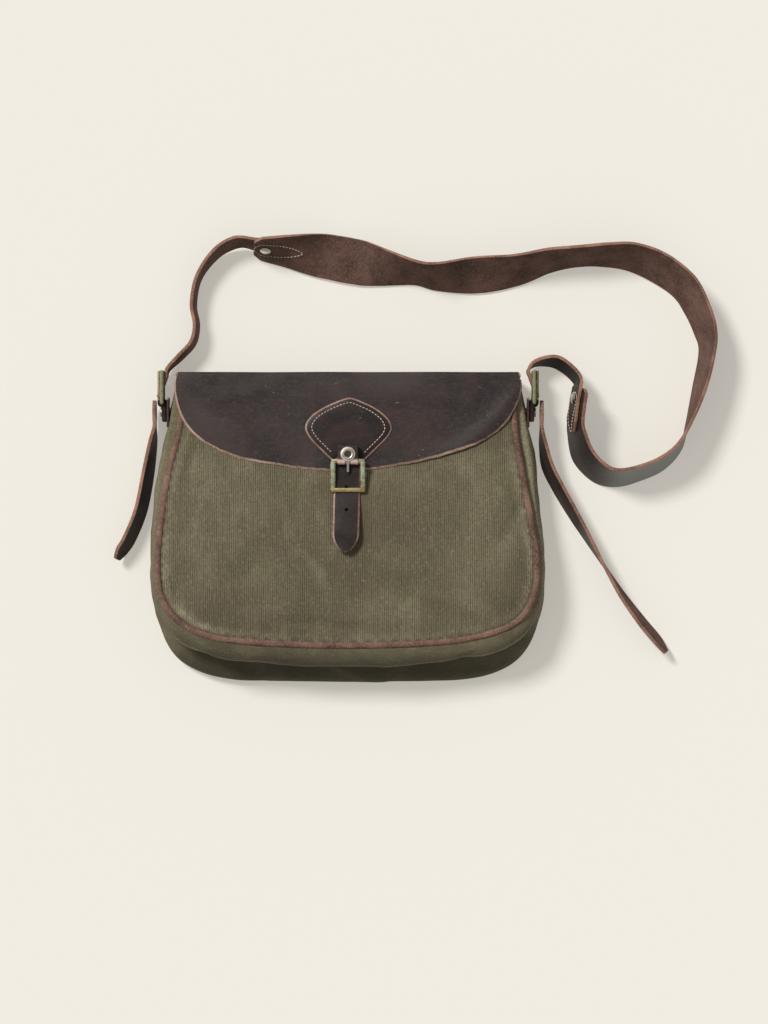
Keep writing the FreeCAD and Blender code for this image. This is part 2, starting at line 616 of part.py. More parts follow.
# The shoulder strap bends where the line through the side rivets crosses it.
bend_radius = size("bend_radius")
bend_start, bend_end = 270.0, 330.0
around = Part.makeCylinder(bend_radius, bend_end - bend_start,
                           Vector(bend_start, pivot.y, pivot.z), Vector(1, 0, 0))
inside = Part.makeCylinder(bend_radius - 0.5, bend_end - bend_start,
                           Vector(bend_start, pivot.y, pivot.z), Vector(1, 0, 0))
behind = Part.makeBox(bend_end - bend_start, 100, 120, Vector(bend_start, pivot.y - 100, -40))
ahead = Part.makeBox(bend_end - bend_start, 120, 120, Vector(bend_start, pivot.y, -40)).cut(inside)
bend = 22                                        # the station just past the bend
upper_run = ribbon(shoulder[:bend + 1]).cut(behind).cut(around).cut(left_hole)
lobe = ribbon(shoulder[bend - 2:]).cut(ahead).cut(right_hole)

for label, shape in (("shoulder_strap", upper_run), ("shoulder_strap_lobe", lobe),
                     ("narrow_strap_left", left_strap), ("narrow_strap_right", right_strap),
                     ("strap_rivet_left", left_rivet), ("strap_rivet_right", right_rivet)):
    piece(label, shape_node(label.title().replace("_", ""), shape))

for side, sign, route in (("left", -1, LEFT_TAIL), ("right", 1, RIGHT_TAIL)):
    half = size("strap") / 2
    disc = x_rod(sign, abs(route[0][0]) - half, abs(route[0][0]) + half, narrow / 2, mid)
    tail = ribbon(stations(route, narrow)).fuse(disc)
    piece(f"strap_tail_{side}", shape_node(f"StrapTail_{side}", tail))

# ---------------------------------------------------------------- check and export

doc.recompute()
for thing in doc.Objects:
    if "Invalid" in thing.State or "Error" in thing.State:
        raise RuntimeError(f"{thing.Name} failed: {thing.State}")
os.makedirs("parts", exist_ok=True)
for feature in pieces:
    shape = feature.Shape
    if shape.isNull() or not shape.isValid() or not shape.Solids:
        raise RuntimeError(f"{feature.Label} has no valid solid")
    shape.exportStep(f"parts/{feature.Label}.step")
    print(feature.Label, len(shape.Solids), round(shape.Volume), "mm3")
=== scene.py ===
"""Looks of the waxed-canvas shoulder bag: canvas, leather, stitching and hardware in metres."""
import math

import bmesh
import bpy
import numpy as np
from mathutils import Matrix, Vector, noise


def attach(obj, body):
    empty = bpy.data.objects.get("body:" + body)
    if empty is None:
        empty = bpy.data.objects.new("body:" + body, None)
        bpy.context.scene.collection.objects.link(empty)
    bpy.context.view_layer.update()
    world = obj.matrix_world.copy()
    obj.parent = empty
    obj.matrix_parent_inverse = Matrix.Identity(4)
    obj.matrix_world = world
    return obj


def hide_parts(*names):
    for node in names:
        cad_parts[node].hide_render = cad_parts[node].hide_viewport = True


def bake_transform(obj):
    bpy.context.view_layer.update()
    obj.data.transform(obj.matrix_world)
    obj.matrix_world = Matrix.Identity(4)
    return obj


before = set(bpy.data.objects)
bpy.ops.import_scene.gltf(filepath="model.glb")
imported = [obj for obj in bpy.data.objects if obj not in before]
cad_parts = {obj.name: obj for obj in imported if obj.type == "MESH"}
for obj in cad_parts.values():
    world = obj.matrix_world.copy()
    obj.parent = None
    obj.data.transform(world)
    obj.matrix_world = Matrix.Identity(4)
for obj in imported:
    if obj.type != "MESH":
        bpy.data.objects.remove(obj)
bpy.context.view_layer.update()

MM = 0.001

# ------------------------------------------------------------------ the bag's layout, as in the CAD

FRONT_TILT = math.radians(5.5)                   # slope of the front, bottom edge high
FRONT_HEIGHT = 36.5 * MM                         # underside of the front panel at Y = 0
CANVAS = 1.8 * MM
LEATHER = 2.8 * MM
FLAP_LIFT = 4.3 * MM                             # underside of the flap above the front plane
STRAP = 3.0 * MM
NARROW, WIDE = 20 * MM, 38 * MM
FOLD_Y, FOLD_LOW, FOLD_HIGH = 129.2 * MM, 3.3 * MM, 29.8 * MM
SNAP_Y = 60 * MM
HEEL_Y, HEEL_LIFT = 54.5 * MM, 14.2 * MM         # closure buckle's heel bar on the front plane
BUCKLE_DROP = math.radians(12)

FRONT = Matrix.Translation((0, 0, FRONT_HEIGHT)) @ Matrix.Rotation(-FRONT_TILT, 4, "X")
FRONT_NORMAL = [0, math.sin(FRONT_TILT), math.cos(FRONT_TILT)]
HEEL = FRONT @ Matrix.Translation((0, HEEL_Y, HEEL_LIFT))


def on_front(x, y, lift):
    """A point at a plan position, a height above the sloping front plane."""
    return np.array([x, y, FRONT_HEIGHT - y * math.tan(FRONT_TILT) + lift / math.cos(FRONT_TILT)])


# ------------------------------------------------------------------ curves and fields

def spline(points, dense=14):
    """Smooth curve through points of any dimension (Catmull-Rom)."""
    p = np.array(points, float)
    p = np.vstack([2 * p[0] - p[1], p, 2 * p[-1] - p[-2]])
    t = np.linspace(0, 1, dense, endpoint=False)[:, None]
    rows = []
    for a, b, c, d in zip(p[:-3], p[1:-2], p[2:-1], p[3:]):
        rows.append(0.5 * (2 * b + (c - a) * t + (2 * a - 5 * b + 4 * c - d) * t ** 2
                           + (3 * b - a - 3 * c + d) * t ** 3))
    rows.append(p[-2][None])
    return np.vstack(rows)


def lengths(points, dimensions=3):
    """Distance run along a curve at each of its points."""
    steps = np.linalg.norm(np.diff(points[:, :dimensions], axis=0), axis=1)
    return np.concatenate([[0], np.cumsum(steps)])


def resample(points, count, dimensions=3):
    """The same curve with evenly spaced points."""
    run = lengths(points, dimensions)
    at = np.linspace(0, run[-1], count)
    return np.stack([np.interp(at, run, column) for column in points.T], axis=1)


def ripple(x, y, z=0.0, scale=20.0, seed=0.0):
    """Smooth noise from -1 to 1; scale is in waves per metre."""
    return noise.noise(Vector((x * scale + seed, y * scale - seed, z * scale + 2.7 * seed)))


def clamp(value):
    """A value kept between 0 and 1."""
    return max(0.0, min(1.0, value))


def ease(share):
    """A share kept between 0 and 1 that starts and ends softly."""
    share = clamp(share)
    return share * share * (3 - 2 * share)


def bump(value, center, width):
    """A smooth hill of height 1."""
    return math.exp(-((value - center) / width) ** 2)


def crease(x, y, start, end, width):
    """A smooth ridge of height 1 along a line in plan."""
    (ax, ay), (bx, by) = start, end
    dx, dy = bx - ax, by - ay
    t = clamp(((x - ax) * dx + (y - ay) * dy) / (dx * dx + dy * dy))
    off = math.hypot(x - ax - t * dx, y - ay - t * dy)
    return math.exp(-(off / width) ** 2) * math.sin(math.pi * (0.1 + 0.8 * t))


# ------------------------------------------------------------------ meshes

SHARP_ANGLE = math.radians(42)                   # edges between steeper faces stay sharp

def linked(name, data):
    """An object for a mesh, light or camera, in the scene."""
    obj = bpy.data.objects.new(name, data)
    bpy.context.scene.collection.objects.link(obj)
    return obj


def mesh_object(name, points, faces, materials, face_slots=None):
    """A smooth mesh object from points and faces."""
    mesh = bpy.data.meshes.new(name)
    mesh.from_pydata([tuple(p) for p in points], [], faces)
    mesh.update()
    obj = linked(name, mesh)
    for entry in materials:
        mesh.materials.append(entry)
    if face_slots is not None:
        mesh.polygons.foreach_set("material_index", face_slots)
    mesh.polygons.foreach_set("use_smooth", [True] * len(mesh.polygons))
    mesh.validate()
    mesh.set_sharp_from_angle(angle=SHARP_ANGLE)
    return obj


def grid_normals(grid):
    """Normal of a surface grid at each point."""
    rows = np.gradient(grid, axis=0)
    columns = np.gradient(grid, axis=1)
    normal = np.cross(rows, columns)
    size = np.linalg.norm(normal, axis=2, keepdims=True)
    return normal / np.maximum(size, 1e-12)


def sheet_mesh(name, grid, thickness, materials, normals=None, slope=0.0):
    """A sheet of one thickness: grid is its lower face (rows, columns, 3).

    materials are those of the upper face, the lower face and the cut edge.  slope is how far
    the lower face reaches past the upper one, so that the raw edge shows from above.
    """
    rows, columns = grid.shape[:2]
    if normals is None:
        normals = grid_normals(grid)
    lower, upper = grid.reshape(-1, 3).copy(), (grid + normals * thickness).reshape(-1, 3)
    count = rows * columns
    points = [lower, upper]
    faces, slots = [], []

    def at(r, c):
        return r * columns + c

    for r in range(rows - 1):
        for c in range(columns - 1):
            quad = (at(r, c), at(r + 1, c), at(r + 1, c + 1), at(r, c + 1))
            faces.append(quad[::-1])
            faces.append(tuple(i + count for i in quad))
            slots += [1, 0]
    border = [(r, 0) for r in range(rows)]
    border += [(rows - 1, c) for c in range(1, columns)]
    border += [(r, columns - 1) for r in range(rows - 2, -1, -1)]
    border += [(0, c) for c in range(columns - 2, 0, -1)]
    first = 2 * count
    for r, c in border:
        inside = grid[min(max(r, 1), rows - 2), min(max(c, 1), columns - 2)]
        out = grid[r, c] - inside
        out = out / max(np.linalg.norm(out), 1e-9)
        lower[at(r, c)] += out * slope
        reach = 0.7 * slope + 0.16 * abs(thickness)
        points.append((grid[r, c] + normals[r, c] * thickness / 2 + out * reach)[None])
    ends = len(border)
    for k in range(ends):
        (r0, c0), (r1, c1) = border[k], border[(k + 1) % ends]
        a, b, ma, mb = at(r0, c0), at(r1, c1), first + k, first + (k + 1) % ends
        faces.append((a, b, mb, ma)[::-1])
        faces.append((ma, mb, b + count, a + count)[::-1])
        slots += [2, 2]
    return mesh_object(name, np.vstack(points), faces, materials, slots)


def tube_faces(first, rings, sides):
    """Faces between the rings of a tube whose points start at an index, then its two ends."""
    faces = []
    for i in range(rings - 1):
        for k in range(sides):
            a, b = first + i * sides + k, first + i * sides + (k + 1) % sides
            faces.append((a, b, b + sides, a + sides))
    last = first + (rings - 1) * sides
    return faces + [tuple(range(first, first + sides))[::-1], tuple(range(last, last + sides))]


def in_metres(places):
    """Places given in mm."""
    return [tuple(value * MM for value in place) for place in places]


def lathe_mesh(name, profile, place, material, sides=40, rim=None):
    """A turned piece: profile is (radius, height) from the axis and back to it.

    rim is a second material for the faces that look outwards.
    """
    points, slots = [], []
    for radius, height in profile:
        for k in range(sides):
            angle = 2 * math.pi * k / sides
            around = (radius * math.cos(angle), radius * math.sin(angle))
            points.append(place @ Vector((*around, height)))
    for (radius, _), (following, _) in zip(profile, profile[1:]):
        slots += [1 if rim and radius == following else 0] * sides
    return mesh_object(name, points, tube_faces(0, len(profile), sides),
                       [material] + ([rim] if rim else []), slots + [0, 0])


def join(name, objects):
    """Several mesh objects made into one."""
    bpy.ops.object.select_all(action="DESELECT")
    for obj in objects:
        obj.select_set(True)
    bpy.context.view_layer.objects.active = objects[0]
    bpy.ops.object.join()
    objects[0].name = name
    return objects[0]


def rounded_box(name, size, place, material, bevel):
    """A box with rounded edges, its middle at the place's origin."""
    work = bmesh.new()
    bmesh.ops.create_cube(work, size=1.0)
    bmesh.ops.scale(work, vec=size, verts=work.verts)
    bmesh.ops.bevel(work, geom=work.edges[:], offset=bevel, segments=4, affect="EDGES", profile=0.5)
    bmesh.ops.transform(work, matrix=place, verts=work.verts)
    mesh = bpy.data.meshes.new(name)
    work.to_mesh(mesh)
    work.free()
    mesh.materials.append(material)
    mesh.polygons.foreach_set("use_smooth", [True] * len(mesh.polygons))
    return linked(name, mesh)


def stitches(name, path, normals, pitch=2.9 * MM, long=2.2 * MM, radius=0.42 * MM, sides=8):
    """Thread stitches along a path: short capsules that dip into the leather at their ends."""
    stations = (0, 0.12, 0.35, 0.65, 0.88, 1)    # shares of a stitch's length
    path, normals = np.array(path), np.array(normals)
    run = lengths(path)
    points, faces = [], []
    for index in range(int(run[-1] / pitch)):
        start = index * pitch + 0.2 * pitch
        ring = []
        for share in stations:
            at = start + share * long
            p = np.array([np.interp(at, run, path[:, k]) for k in range(3)])
            n = np.array([np.interp(at, run, normals[:, k]) for k in range(3)])
            n /= np.linalg.norm(n)
            swell = math.sin(math.pi * min(max(share, 0.04), 0.96)) ** 0.5
            ring.append((p + n * radius * (1.3 * swell - 0.9), n, radius * swell))
        t = ring[-1][0] - ring[0][0]
        t /= np.linalg.norm(t)
        base = len(points)
        for p, n, r in ring:
            side = np.cross(t, n)
            for k in range(sides):
                angle = 2 * math.pi * k / sides
                points.append(p + (side * math.cos(angle) + n * math.sin(angle)) * r)
        faces += tube_faces(base, len(stations), sides)
    return mesh_object(name, points, faces, [THREAD_LOOK])


# ------------------------------------------------------------------ materials

def srgb(red, green, blue):
    """A linear colour from 0-255 display values."""
    parts = [value / 255 for value in (red, green, blue)]
    linear = [v / 12.92 if v <= 0.04045 else ((v + 0.055) / 1.055) ** 2.4 for v in parts]
    return (*linear, 1.0)


class Paint:
    """A material and the few kinds of node that it is built from.

    Textures are laid out in the row frame in metres, so waves are waves per metre.  Colours
    are given as 0-255 display values.
    """

    def __init__(self, name, colour, roughness, metallic=0.0, specular=0.5):
        self.colour = colour
        self.material = bpy.data.materials.new(name)
        self.material.use_nodes = True
        self.tree = self.material.node_tree
        self.shader = self.tree.nodes["Principled BSDF"]
        self.set("Roughness", roughness)
        self.set("Metallic", metallic)
        self.set("Specular IOR Level", specular)
        self.place = self.node("ShaderNodeTexCoord").outputs["Object"]

    def node(self, kind, inputs=None, **settings):
        made = self.tree.nodes.new(kind)
        for name, value in settings.items():
            setattr(made, name, value)
        for name, value in (inputs or {}).items():
            self.connect(value, made.inputs[name])
        return made

    def connect(self, value, socket):
        if isinstance(value, bpy.types.NodeSocket):
            self.tree.links.new(value, socket)
        elif socket.type == "RGBA" and len(value) == 3:
            socket.default_value = srgb(*value)
        else:
            socket.default_value = value

    def set(self, name, value):
        self.connect(value, self.shader.inputs[name])

    def field(self, waves, detail=3.0, turn=0.0, offset=0.0, distortion=0.0):
        """Noise about 0.5, with its own number of waves along each axis."""
        mapping = self.node("ShaderNodeMapping", {
            "Vector": self.place, "Scale": waves, "Rotation": (0, 0, turn),
            "Location": (offset, offset, offset)}, vector_type="POINT")
        texture = self.node("ShaderNodeTexNoise", {
            "Vector": mapping.outputs[0], "Scale": 1.0, "Detail": detail,
            "Distortion": distortion})
        return texture.outputs["Fac"]

    def ribs(self, pitch, axis, wander):
        """Ribs of a weave across one axis."""
        texture = self.node("ShaderNodeTexWave", {
            "Vector": self.place, "Scale": math.pi / 10 / pitch, "Distortion": wander,
            "Detail": 2.0, "Detail Scale": 0.35}, bands_direction=axis)
        return texture.outputs["Fac"]

    def between(self, value, low, high, start=0.0, end=1.0):
        """A value's range low to high stretched to start to end."""
        return self.node("ShaderNodeMapRange", {
            0: value, "From Min": low, "From Max": high, "To Min": start, "To Max": end}).outputs[0]

    def maths(self, operation, first, second=0.0):
        return self.node("ShaderNodeMath", {0: first, 1: second}, operation=operation).outputs[0]

    def over(self, share, colour):
        """Lay a colour over the one so far, as far as a share goes."""
        made = self.node("ShaderNodeMix", data_type="RGBA")
        for index, value in ((0, share), (6, self.colour), (7, colour)):
            self.connect(value, made.inputs[index])
        self.colour = made.outputs[2]

    def layer(self, value, colour, low, high, start=0.0, end=1.0):
        """Lay a colour over the one so far where a value's range is up."""
        self.over(self.between(value, low, high, start, end), colour)

    def bump(self, height, depth, strength, under=None):
        """A bump of a real depth, on top of another one."""
        made = self.node("ShaderNodeBump", {"Height": height, "Distance": depth,
                                            "Strength": strength})
        if under is not None:
            self.connect(under, made.inputs["Normal"])
        return made.outputs[0]

    def finish(self, normal):
        """The material, with its colour and its relief in place."""
        self.set("Base Color", self.colour)
        self.set("Normal", normal)
        return self.material


def canvas_material(name, base, light, dark, gap, axis, pitch, bottom_shade=0.0):
    """Waxed cotton: fine ribs with slubs, rubbed patches and waxy ones, and a green tinge."""
    paint = Paint(name, dark, 0.78, specular=0.22)
    ribs = paint.ribs(pitch, axis, 0.9)
    slubs = paint.field((1000, 330, 1000) if axis == "X" else (900, 700, 500), 3.0, offset=3.1)
    lengthwise = paint.field((620, 24, 620) if axis == "X" else (90, 90, 620), 2.0, offset=4.4)
    weft = paint.field((240, 1300, 900), 2.0, offset=7.7)
    patches = paint.field((13, 10, 13), 4.0, offset=1.9, distortion=0.4)
    rubbed = paint.field((38, 26, 38), 6.0, offset=5.3, distortion=0.5)
    tinge = paint.field((19, 17, 19), 3.0, offset=9.2)
    thread = paint.maths("ADD", paint.maths("MULTIPLY", ribs, 0.62),
                         paint.maths("MULTIPLY", lengthwise, 0.55))
    paint.layer(patches, base, 0.36, 0.62)
    paint.layer(tinge, (98, 102, 66), 0.55, 0.7, end=0.35)
    paint.layer(rubbed, light, 0.52, 0.8, end=0.45)
    paint.layer(thread, gap, 0.22, 0.62, 0.85, 0.0)
    paint.layer(slubs, light, 0.54, 0.78, end=0.42)
    paint.layer(weft, gap, 0.3, 0.6, 0.35, 0.0)
    # Wear and painted light are stored on the mesh as a colour attribute: red lays on the pale
    # colour (rubbed wear, on the bottom fold's crest also a painted highlight); green lays on the
    # gap colour (mostly painted shade).
    painted = paint.node("ShaderNodeVertexColor", layer_name="wear_and_shade").outputs["Color"]
    shares = paint.node("ShaderNodeSeparateColor", {0: painted}).outputs
    paint.over(paint.maths("MULTIPLY", shares["Red"],
                           paint.between(slubs, 0.36, 0.60, 0.25, 0.95)), light)
    paint.over(paint.maths("MULTIPLY", shares["Green"], 0.75), gap)
    if bottom_shade:                                    # painted shade: the bottom's lower half is darkened, below the overhanging fold
        axes = paint.node("ShaderNodeSeparateXYZ", {0: paint.place}).outputs
        low = paint.maths("ADD", axes["Y"], paint.maths("MULTIPLY", patches, 0.02))
        paint.layer(low, (46, 43, 31), -0.092, -0.110, end=bottom_shade)
    paint.set("Roughness", paint.between(patches, 0.3, 0.7, 0.66, 0.86))
    under = paint.bump(slubs, 0.2 * MM, 0.6, paint.bump(patches, 0.6 * MM, 0.35))
    return paint.finish(paint.bump(thread, 0.35 * MM, 0.9, under))


def leather_material(name, base, light, dark, roughness, nicks=0.0, grain=0.5, gloss=0.22,
                     rubbed=None, ramps=()):
    """Oiled leather: cloudy colour, a painted sheen, pores, long scratches and small pale nicks.

    It takes another colour where all the ramps (axis, from, to) are up: rubbed wear on the chape
    and tabs, a painted sheen on the strap's curl.
    """
    paint = Paint(name, dark, roughness, specular=gloss)
    cloud = paint.field((22, 28, 22), 6.0, offset=2.2, distortion=0.6)
    pores = paint.field((1300, 1300, 1300), 3.0, offset=4.4)
    wrinkles = paint.field((260, 420, 320), 5.0, turn=0.5, offset=6.1, distortion=1.2)
    ruddy = paint.field((31, 38, 31), 4.0, offset=17.3, distortion=1.0)
    sheen = paint.field((11, 16, 11), 3.0, offset=21.9, distortion=0.5)
    scratch = paint.field((60, 900, 60), 2.0, turn=0.7, offset=8.8)
    crossing = paint.field((800, 50, 50), 2.0, turn=0.35, offset=9.9)
    paint.layer(cloud, base, 0.35, 0.68)
    paint.layer(ruddy, (70, 47, 42), 0.48, 0.70, end=0.45)
    # painted sheen: cloudy lighter patches standing in for reflections
    paint.layer(sheen, light, 0.46, 0.66, end=0.45)
    paint.layer(wrinkles, light, 0.45, 0.72, end=0.38)
    paint.layer(scratch, light, 0.66, 0.74, end=0.45)
    paint.layer(crossing, dark, 0.68, 0.76, end=0.4)
    if nicks:
        spots = paint.field((300, 380, 300), 1.0, offset=12.5)
        where = paint.field((24, 24, 24), 2.0, offset=15.1)
        paint.over(paint.maths("MULTIPLY", paint.between(spots, 0.75, 0.78, 0.0, nicks),
                               paint.between(where, 0.50, 0.62)), (176, 158, 146))
    if ramps:
        axes, share = paint.node("ShaderNodeSeparateXYZ", {0: paint.place}).outputs, 1.0
        for axis, start, end in ramps:
            ramp = paint.node("ShaderNodeMapRange", {
                0: axes[axis], "From Min": start, "From Max": end},
                interpolation_type="SMOOTHSTEP").outputs[0]
            share = paint.maths("MULTIPLY", ramp, share)
        paint.over(share, rubbed)
    paint.set("Roughness", paint.between(cloud, 0.3, 0.7, roughness + 0.1, roughness - 0.1))
    under = paint.bump(wrinkles, 0.5 * MM, 0.4 * grain)
    under = paint.bump(scratch, 0.15 * MM, 0.5 * grain, under)
    return paint.finish(paint.bump(pores, 0.12 * MM, grain, under))


def suede_material(name, base, light, dark):
    """Flesh side or raw edge of leather: fibres without gloss."""
    paint = Paint(name, dark, 0.88, specular=0.2)
    cloud = paint.field((55, 45, 55), 6.0, offset=3.3)
    fibre = paint.field((700, 700, 900), 5.0, offset=5.7, distortion=0.8)
    blotch = paint.field((150, 150, 190), 4.0, offset=1.4)
    paint.layer(cloud, base, 0.36, 0.66)
    paint.layer(fibre, light, 0.45, 0.75, end=0.6)
    paint.layer(blotch, dark, 0.3, 0.5, 0.45, 0.0)
    return paint.finish(paint.bump(fibre, 0.35 * MM, 0.8, paint.bump(blotch, 0.6 * MM, 0.5)))


def metal_material(name, base, stain, roughness, stained):
    """Old plated metal, stained in patches."""
    paint = Paint(name, base, roughness, metallic=1.0)
    cloud = paint.field((210, 210, 210), 5.0, offset=2.9)
    fine = paint.field((900, 900, 900), 4.0, offset=7.2)
    share = paint.between(paint.maths("ADD", cloud, paint.maths("MULTIPLY", fine, 0.4)),
                          0.62, 0.86, 0.0, stained)
    paint.over(share, stain)
    paint.set("Metallic", paint.between(share, 0.0, 1.0, 1.0, 0.25))
    paint.set("Roughness", paint.between(share, 0.0, 1.0, roughness, 0.7))
    return paint.finish(paint.bump(fine, 0.08 * MM, 0.5))


CANVAS_LOOK = canvas_material("waxed_canvas", (117, 108, 85), (160, 151, 124), (95, 87, 66),
                              (60, 55, 41), "X", 1.8 * MM)
# The gusset's bottom gets painted shade below its fold.
SIDE_LOOK = canvas_material("gusset_canvas", (114, 106, 83), (148, 139, 113), (84, 78, 59),
                            (70, 64, 49), "DIAGONAL", 0.85 * MM, bottom_shade=0.5)
FLAP_LOOK = leather_material("flap_leather", (50, 41, 39), (78, 69, 66), (35, 29, 28), 0.46,
                             nicks=0.6)
PATCH_LOOK = leather_material("patch_leather", (36, 29, 28), (62, 50, 46), (24, 20, 20), 0.44,
                              nicks=0.3)
GRAIN_LOOK = leather_material("strap_grain", (35, 27, 25), (60, 46, 41), (23, 19, 18), 0.5,
                              grain=0.35, gloss=0.1)
# The curl's pale grey from about X 203 to 305 mm is a painted sheen; the chape's and the tabs'
# paler ends are rubbed wear.
CHAPE_LOOK, TAB_LOOK, CURL_LOOK = [
    leather_material(name, base, (74, 60, 55), (30, 25, 24), 0.45, rubbed=rubbed, ramps=ramps)
    for name, base, rubbed, ramps in (
        ("chape_leather", (46, 36, 34), (204, 172, 160), [("Y", 58.0 * MM, 55.5 * MM)]),
        ("tab_leather", (70, 54, 49), (168, 124, 106), [("Y", 106.5 * MM, 109.0 * MM)]),
        ("curl_grain", (37, 28, 26), (126, 126, 122),
         [("X", 203 * MM, 236 * MM), ("X", 305 * MM, 270 * MM)]))]
(FLESH_LOOK, EDGE_LOOK, FLAP_EDGE_LOOK, STRAP_EDGE_LOOK, PIPING_LOOK, RECESS_LOOK,
 THREAD_LOOK) = [suede_material(*look) for look in (
     ("strap_flesh", (102, 76, 66), (138, 107, 92), (70, 52, 45)),
     ("raw_edge", (164, 134, 120), (204, 180, 166), (116, 88, 77)),
     ("flap_raw_edge", (182, 152, 134), (216, 192, 174), (128, 98, 84)),
     ("strap_raw_edge", (154, 114, 96), (188, 148, 126), (106, 76, 64)),
     ("piping_leather", (124, 95, 82), (164, 131, 115), (80, 60, 52)),
     ("snap_recess", (66, 50, 43), (110, 88, 74), (38, 30, 27)),
     ("waxed_thread", (214, 196, 178), (236, 224, 208), (168, 146, 128)))]
BRASS_LOOK, VERDIGRIS_LOOK, SIDE_BRASS_LOOK, NICKEL_LOOK = [metal_material(*look) for look in (
    ("old_brass", (196, 170, 116), (128, 146, 122), 0.32, 0.75),
    ("verdigris_brass", (168, 154, 112), (146, 172, 152), 0.45, 1.0),
    ("dull_brass", (140, 130, 96), (112, 132, 106), 0.5, 1.0),
    ("worn_nickel", (214, 208, 196), (150, 138, 116), 0.26, 0.45))]


# ------------------------------------------------------------------ canvas body

FRONT_SEAM = spline(np.array([                   # middle of the front piping in plan, mm
    (-141.5, 126), (-139.5, 108), (-140, 91), (-144.5, 69), (-151, 42), (-156, 10), (-159, -24),
    (-158, -49), (-152, -66), (-142, -77.5), (-129, -86), (-111, -92), (-88, -95), (-50, -97.5),
    (-7, -98.5), (35, -98), (68, -96.5), (99, -93), (124, -87), (142, -78), (153, -63),
    (158, -42), (157.5, -18), (153.5, 5), (148, 35), (143.5, 61), (140, 85), (139.5, 108),
    (141.5, 126)]) * MM)
BACK_SEAM = spline(np.array([                    # middle of the back piping in plan, mm
    (-138.5, 126), (-143.5, 97), (-150.5, 55), (-157, 15), (-161, -24), (-160.5, -60),
    (-155, -86), (-143.5, -107), (-126, -119), (-101, -125.5), (-60, -127.5), (0, -127.6),
    (60, -127.5), (101, -125.5), (126, -119), (143.5, -107), (155, -86), (160.5, -60),
    (161, -24), (157, 15), (150.5, 55), (143.5, 97), (138.5, 126)]) * MM)
PIPING_LIFT = 1.2 * MM                           # middle of the front piping on the front plane
BACK_PIPING_Z = 2.3 * MM
TAB_FACE = 150.5 * MM                            # inner face of the side tabs
PANEL_MIDDLE, BACK_MIDDLE = np.array([0.0, 12 * MM]), np.array([0.0, -5 * MM])


# Folds of the front canvas: height in mm, start, end and width in plan (metres).
FRONT_FOLDS = [
    (1.7, (-0.134, 0.082), (-0.150, 0.015), 0.006),
    (1.5, (-0.128, 0.036), (-0.092, 0.010), 0.007),
    (-2.0, (0.150, 0.026), (0.128, -0.014), 0.006),
    (1.5, (0.140, 0.048), (0.116, 0.006), 0.008),
    (-2.0, (-0.151, -0.028), (-0.136, -0.078), 0.005),
    (1.7, (0.052, -0.050), (0.108, -0.072), 0.006),
    (-1.0, (-0.060, -0.078), (0.020, -0.084), 0.005),
    (1.2, (0.020, -0.028), (0.074, -0.040), 0.009),
    (-0.9, (-0.060, 0.004), (-0.088, -0.040), 0.012)]
SWELL_REACH = 42                                 # mm from the seam within which the panel rises
CROWN, CROWN_LOSS = 3.8, 2.7                     # mm that it rises, and less under the flap
STUD_HOLLOW = 10 * MM                            # radius pressed in round the snap stud


def flap_line(x, rise):
    """Y of the flap's lower edge, roughly; its ends are higher by the rise in mm."""
    return (49 + rise * (abs(x) / 0.144) ** 3.2) * MM


def under_flap(x, y):
    """1 where the flap covers the front, 0 well outside it."""
    return clamp((y - flap_line(x, 62) + 12 * MM) / (24 * MM))


def from_seam(x, y):
    """Distance in plan from the front seam, mm."""
    return np.hypot(FRONT_SEAM[::4, 0] - x, FRONT_SEAM[::4, 1] - y).min() / MM


def canvas_lift(x, y):
    """Height of the front canvas's top above the front plane, at any place in plan."""
    away = from_seam(x, y)
    rise = min(1.0, away / SWELL_REACH)
    rise = 1 - (1 - rise) ** 3
    crown = (CROWN - CROWN_LOSS * under_flap(x, y)) * rise
    soft = 0.9 * ripple(x, y, scale=17, seed=3) + 0.45 * ripple(x, y, scale=46, seed=8)
    pucker = 0.40 * ripple(x, y, scale=140, seed=5) * math.exp(-away / 9)
    folds = sum(height * crease(x, y, *fold) for height, *fold in FRONT_FOLDS)
    beside_strap = 1 - 0.6 * bump(x, 0, 0.016) * bump(y, 0.012, 0.04)
    relief = (soft + 1.35 * folds) * (1 - 0.85 * under_flap(x, y)) * beside_strap * min(1, away / 8)
    pressed = min(1.0, 1.5 * bump(math.hypot(x, y - SNAP_Y), 0, STUD_HOLLOW))
    return CANVAS + (0.3 + crown + relief + pucker) * (1 - 0.97 * pressed) * MM


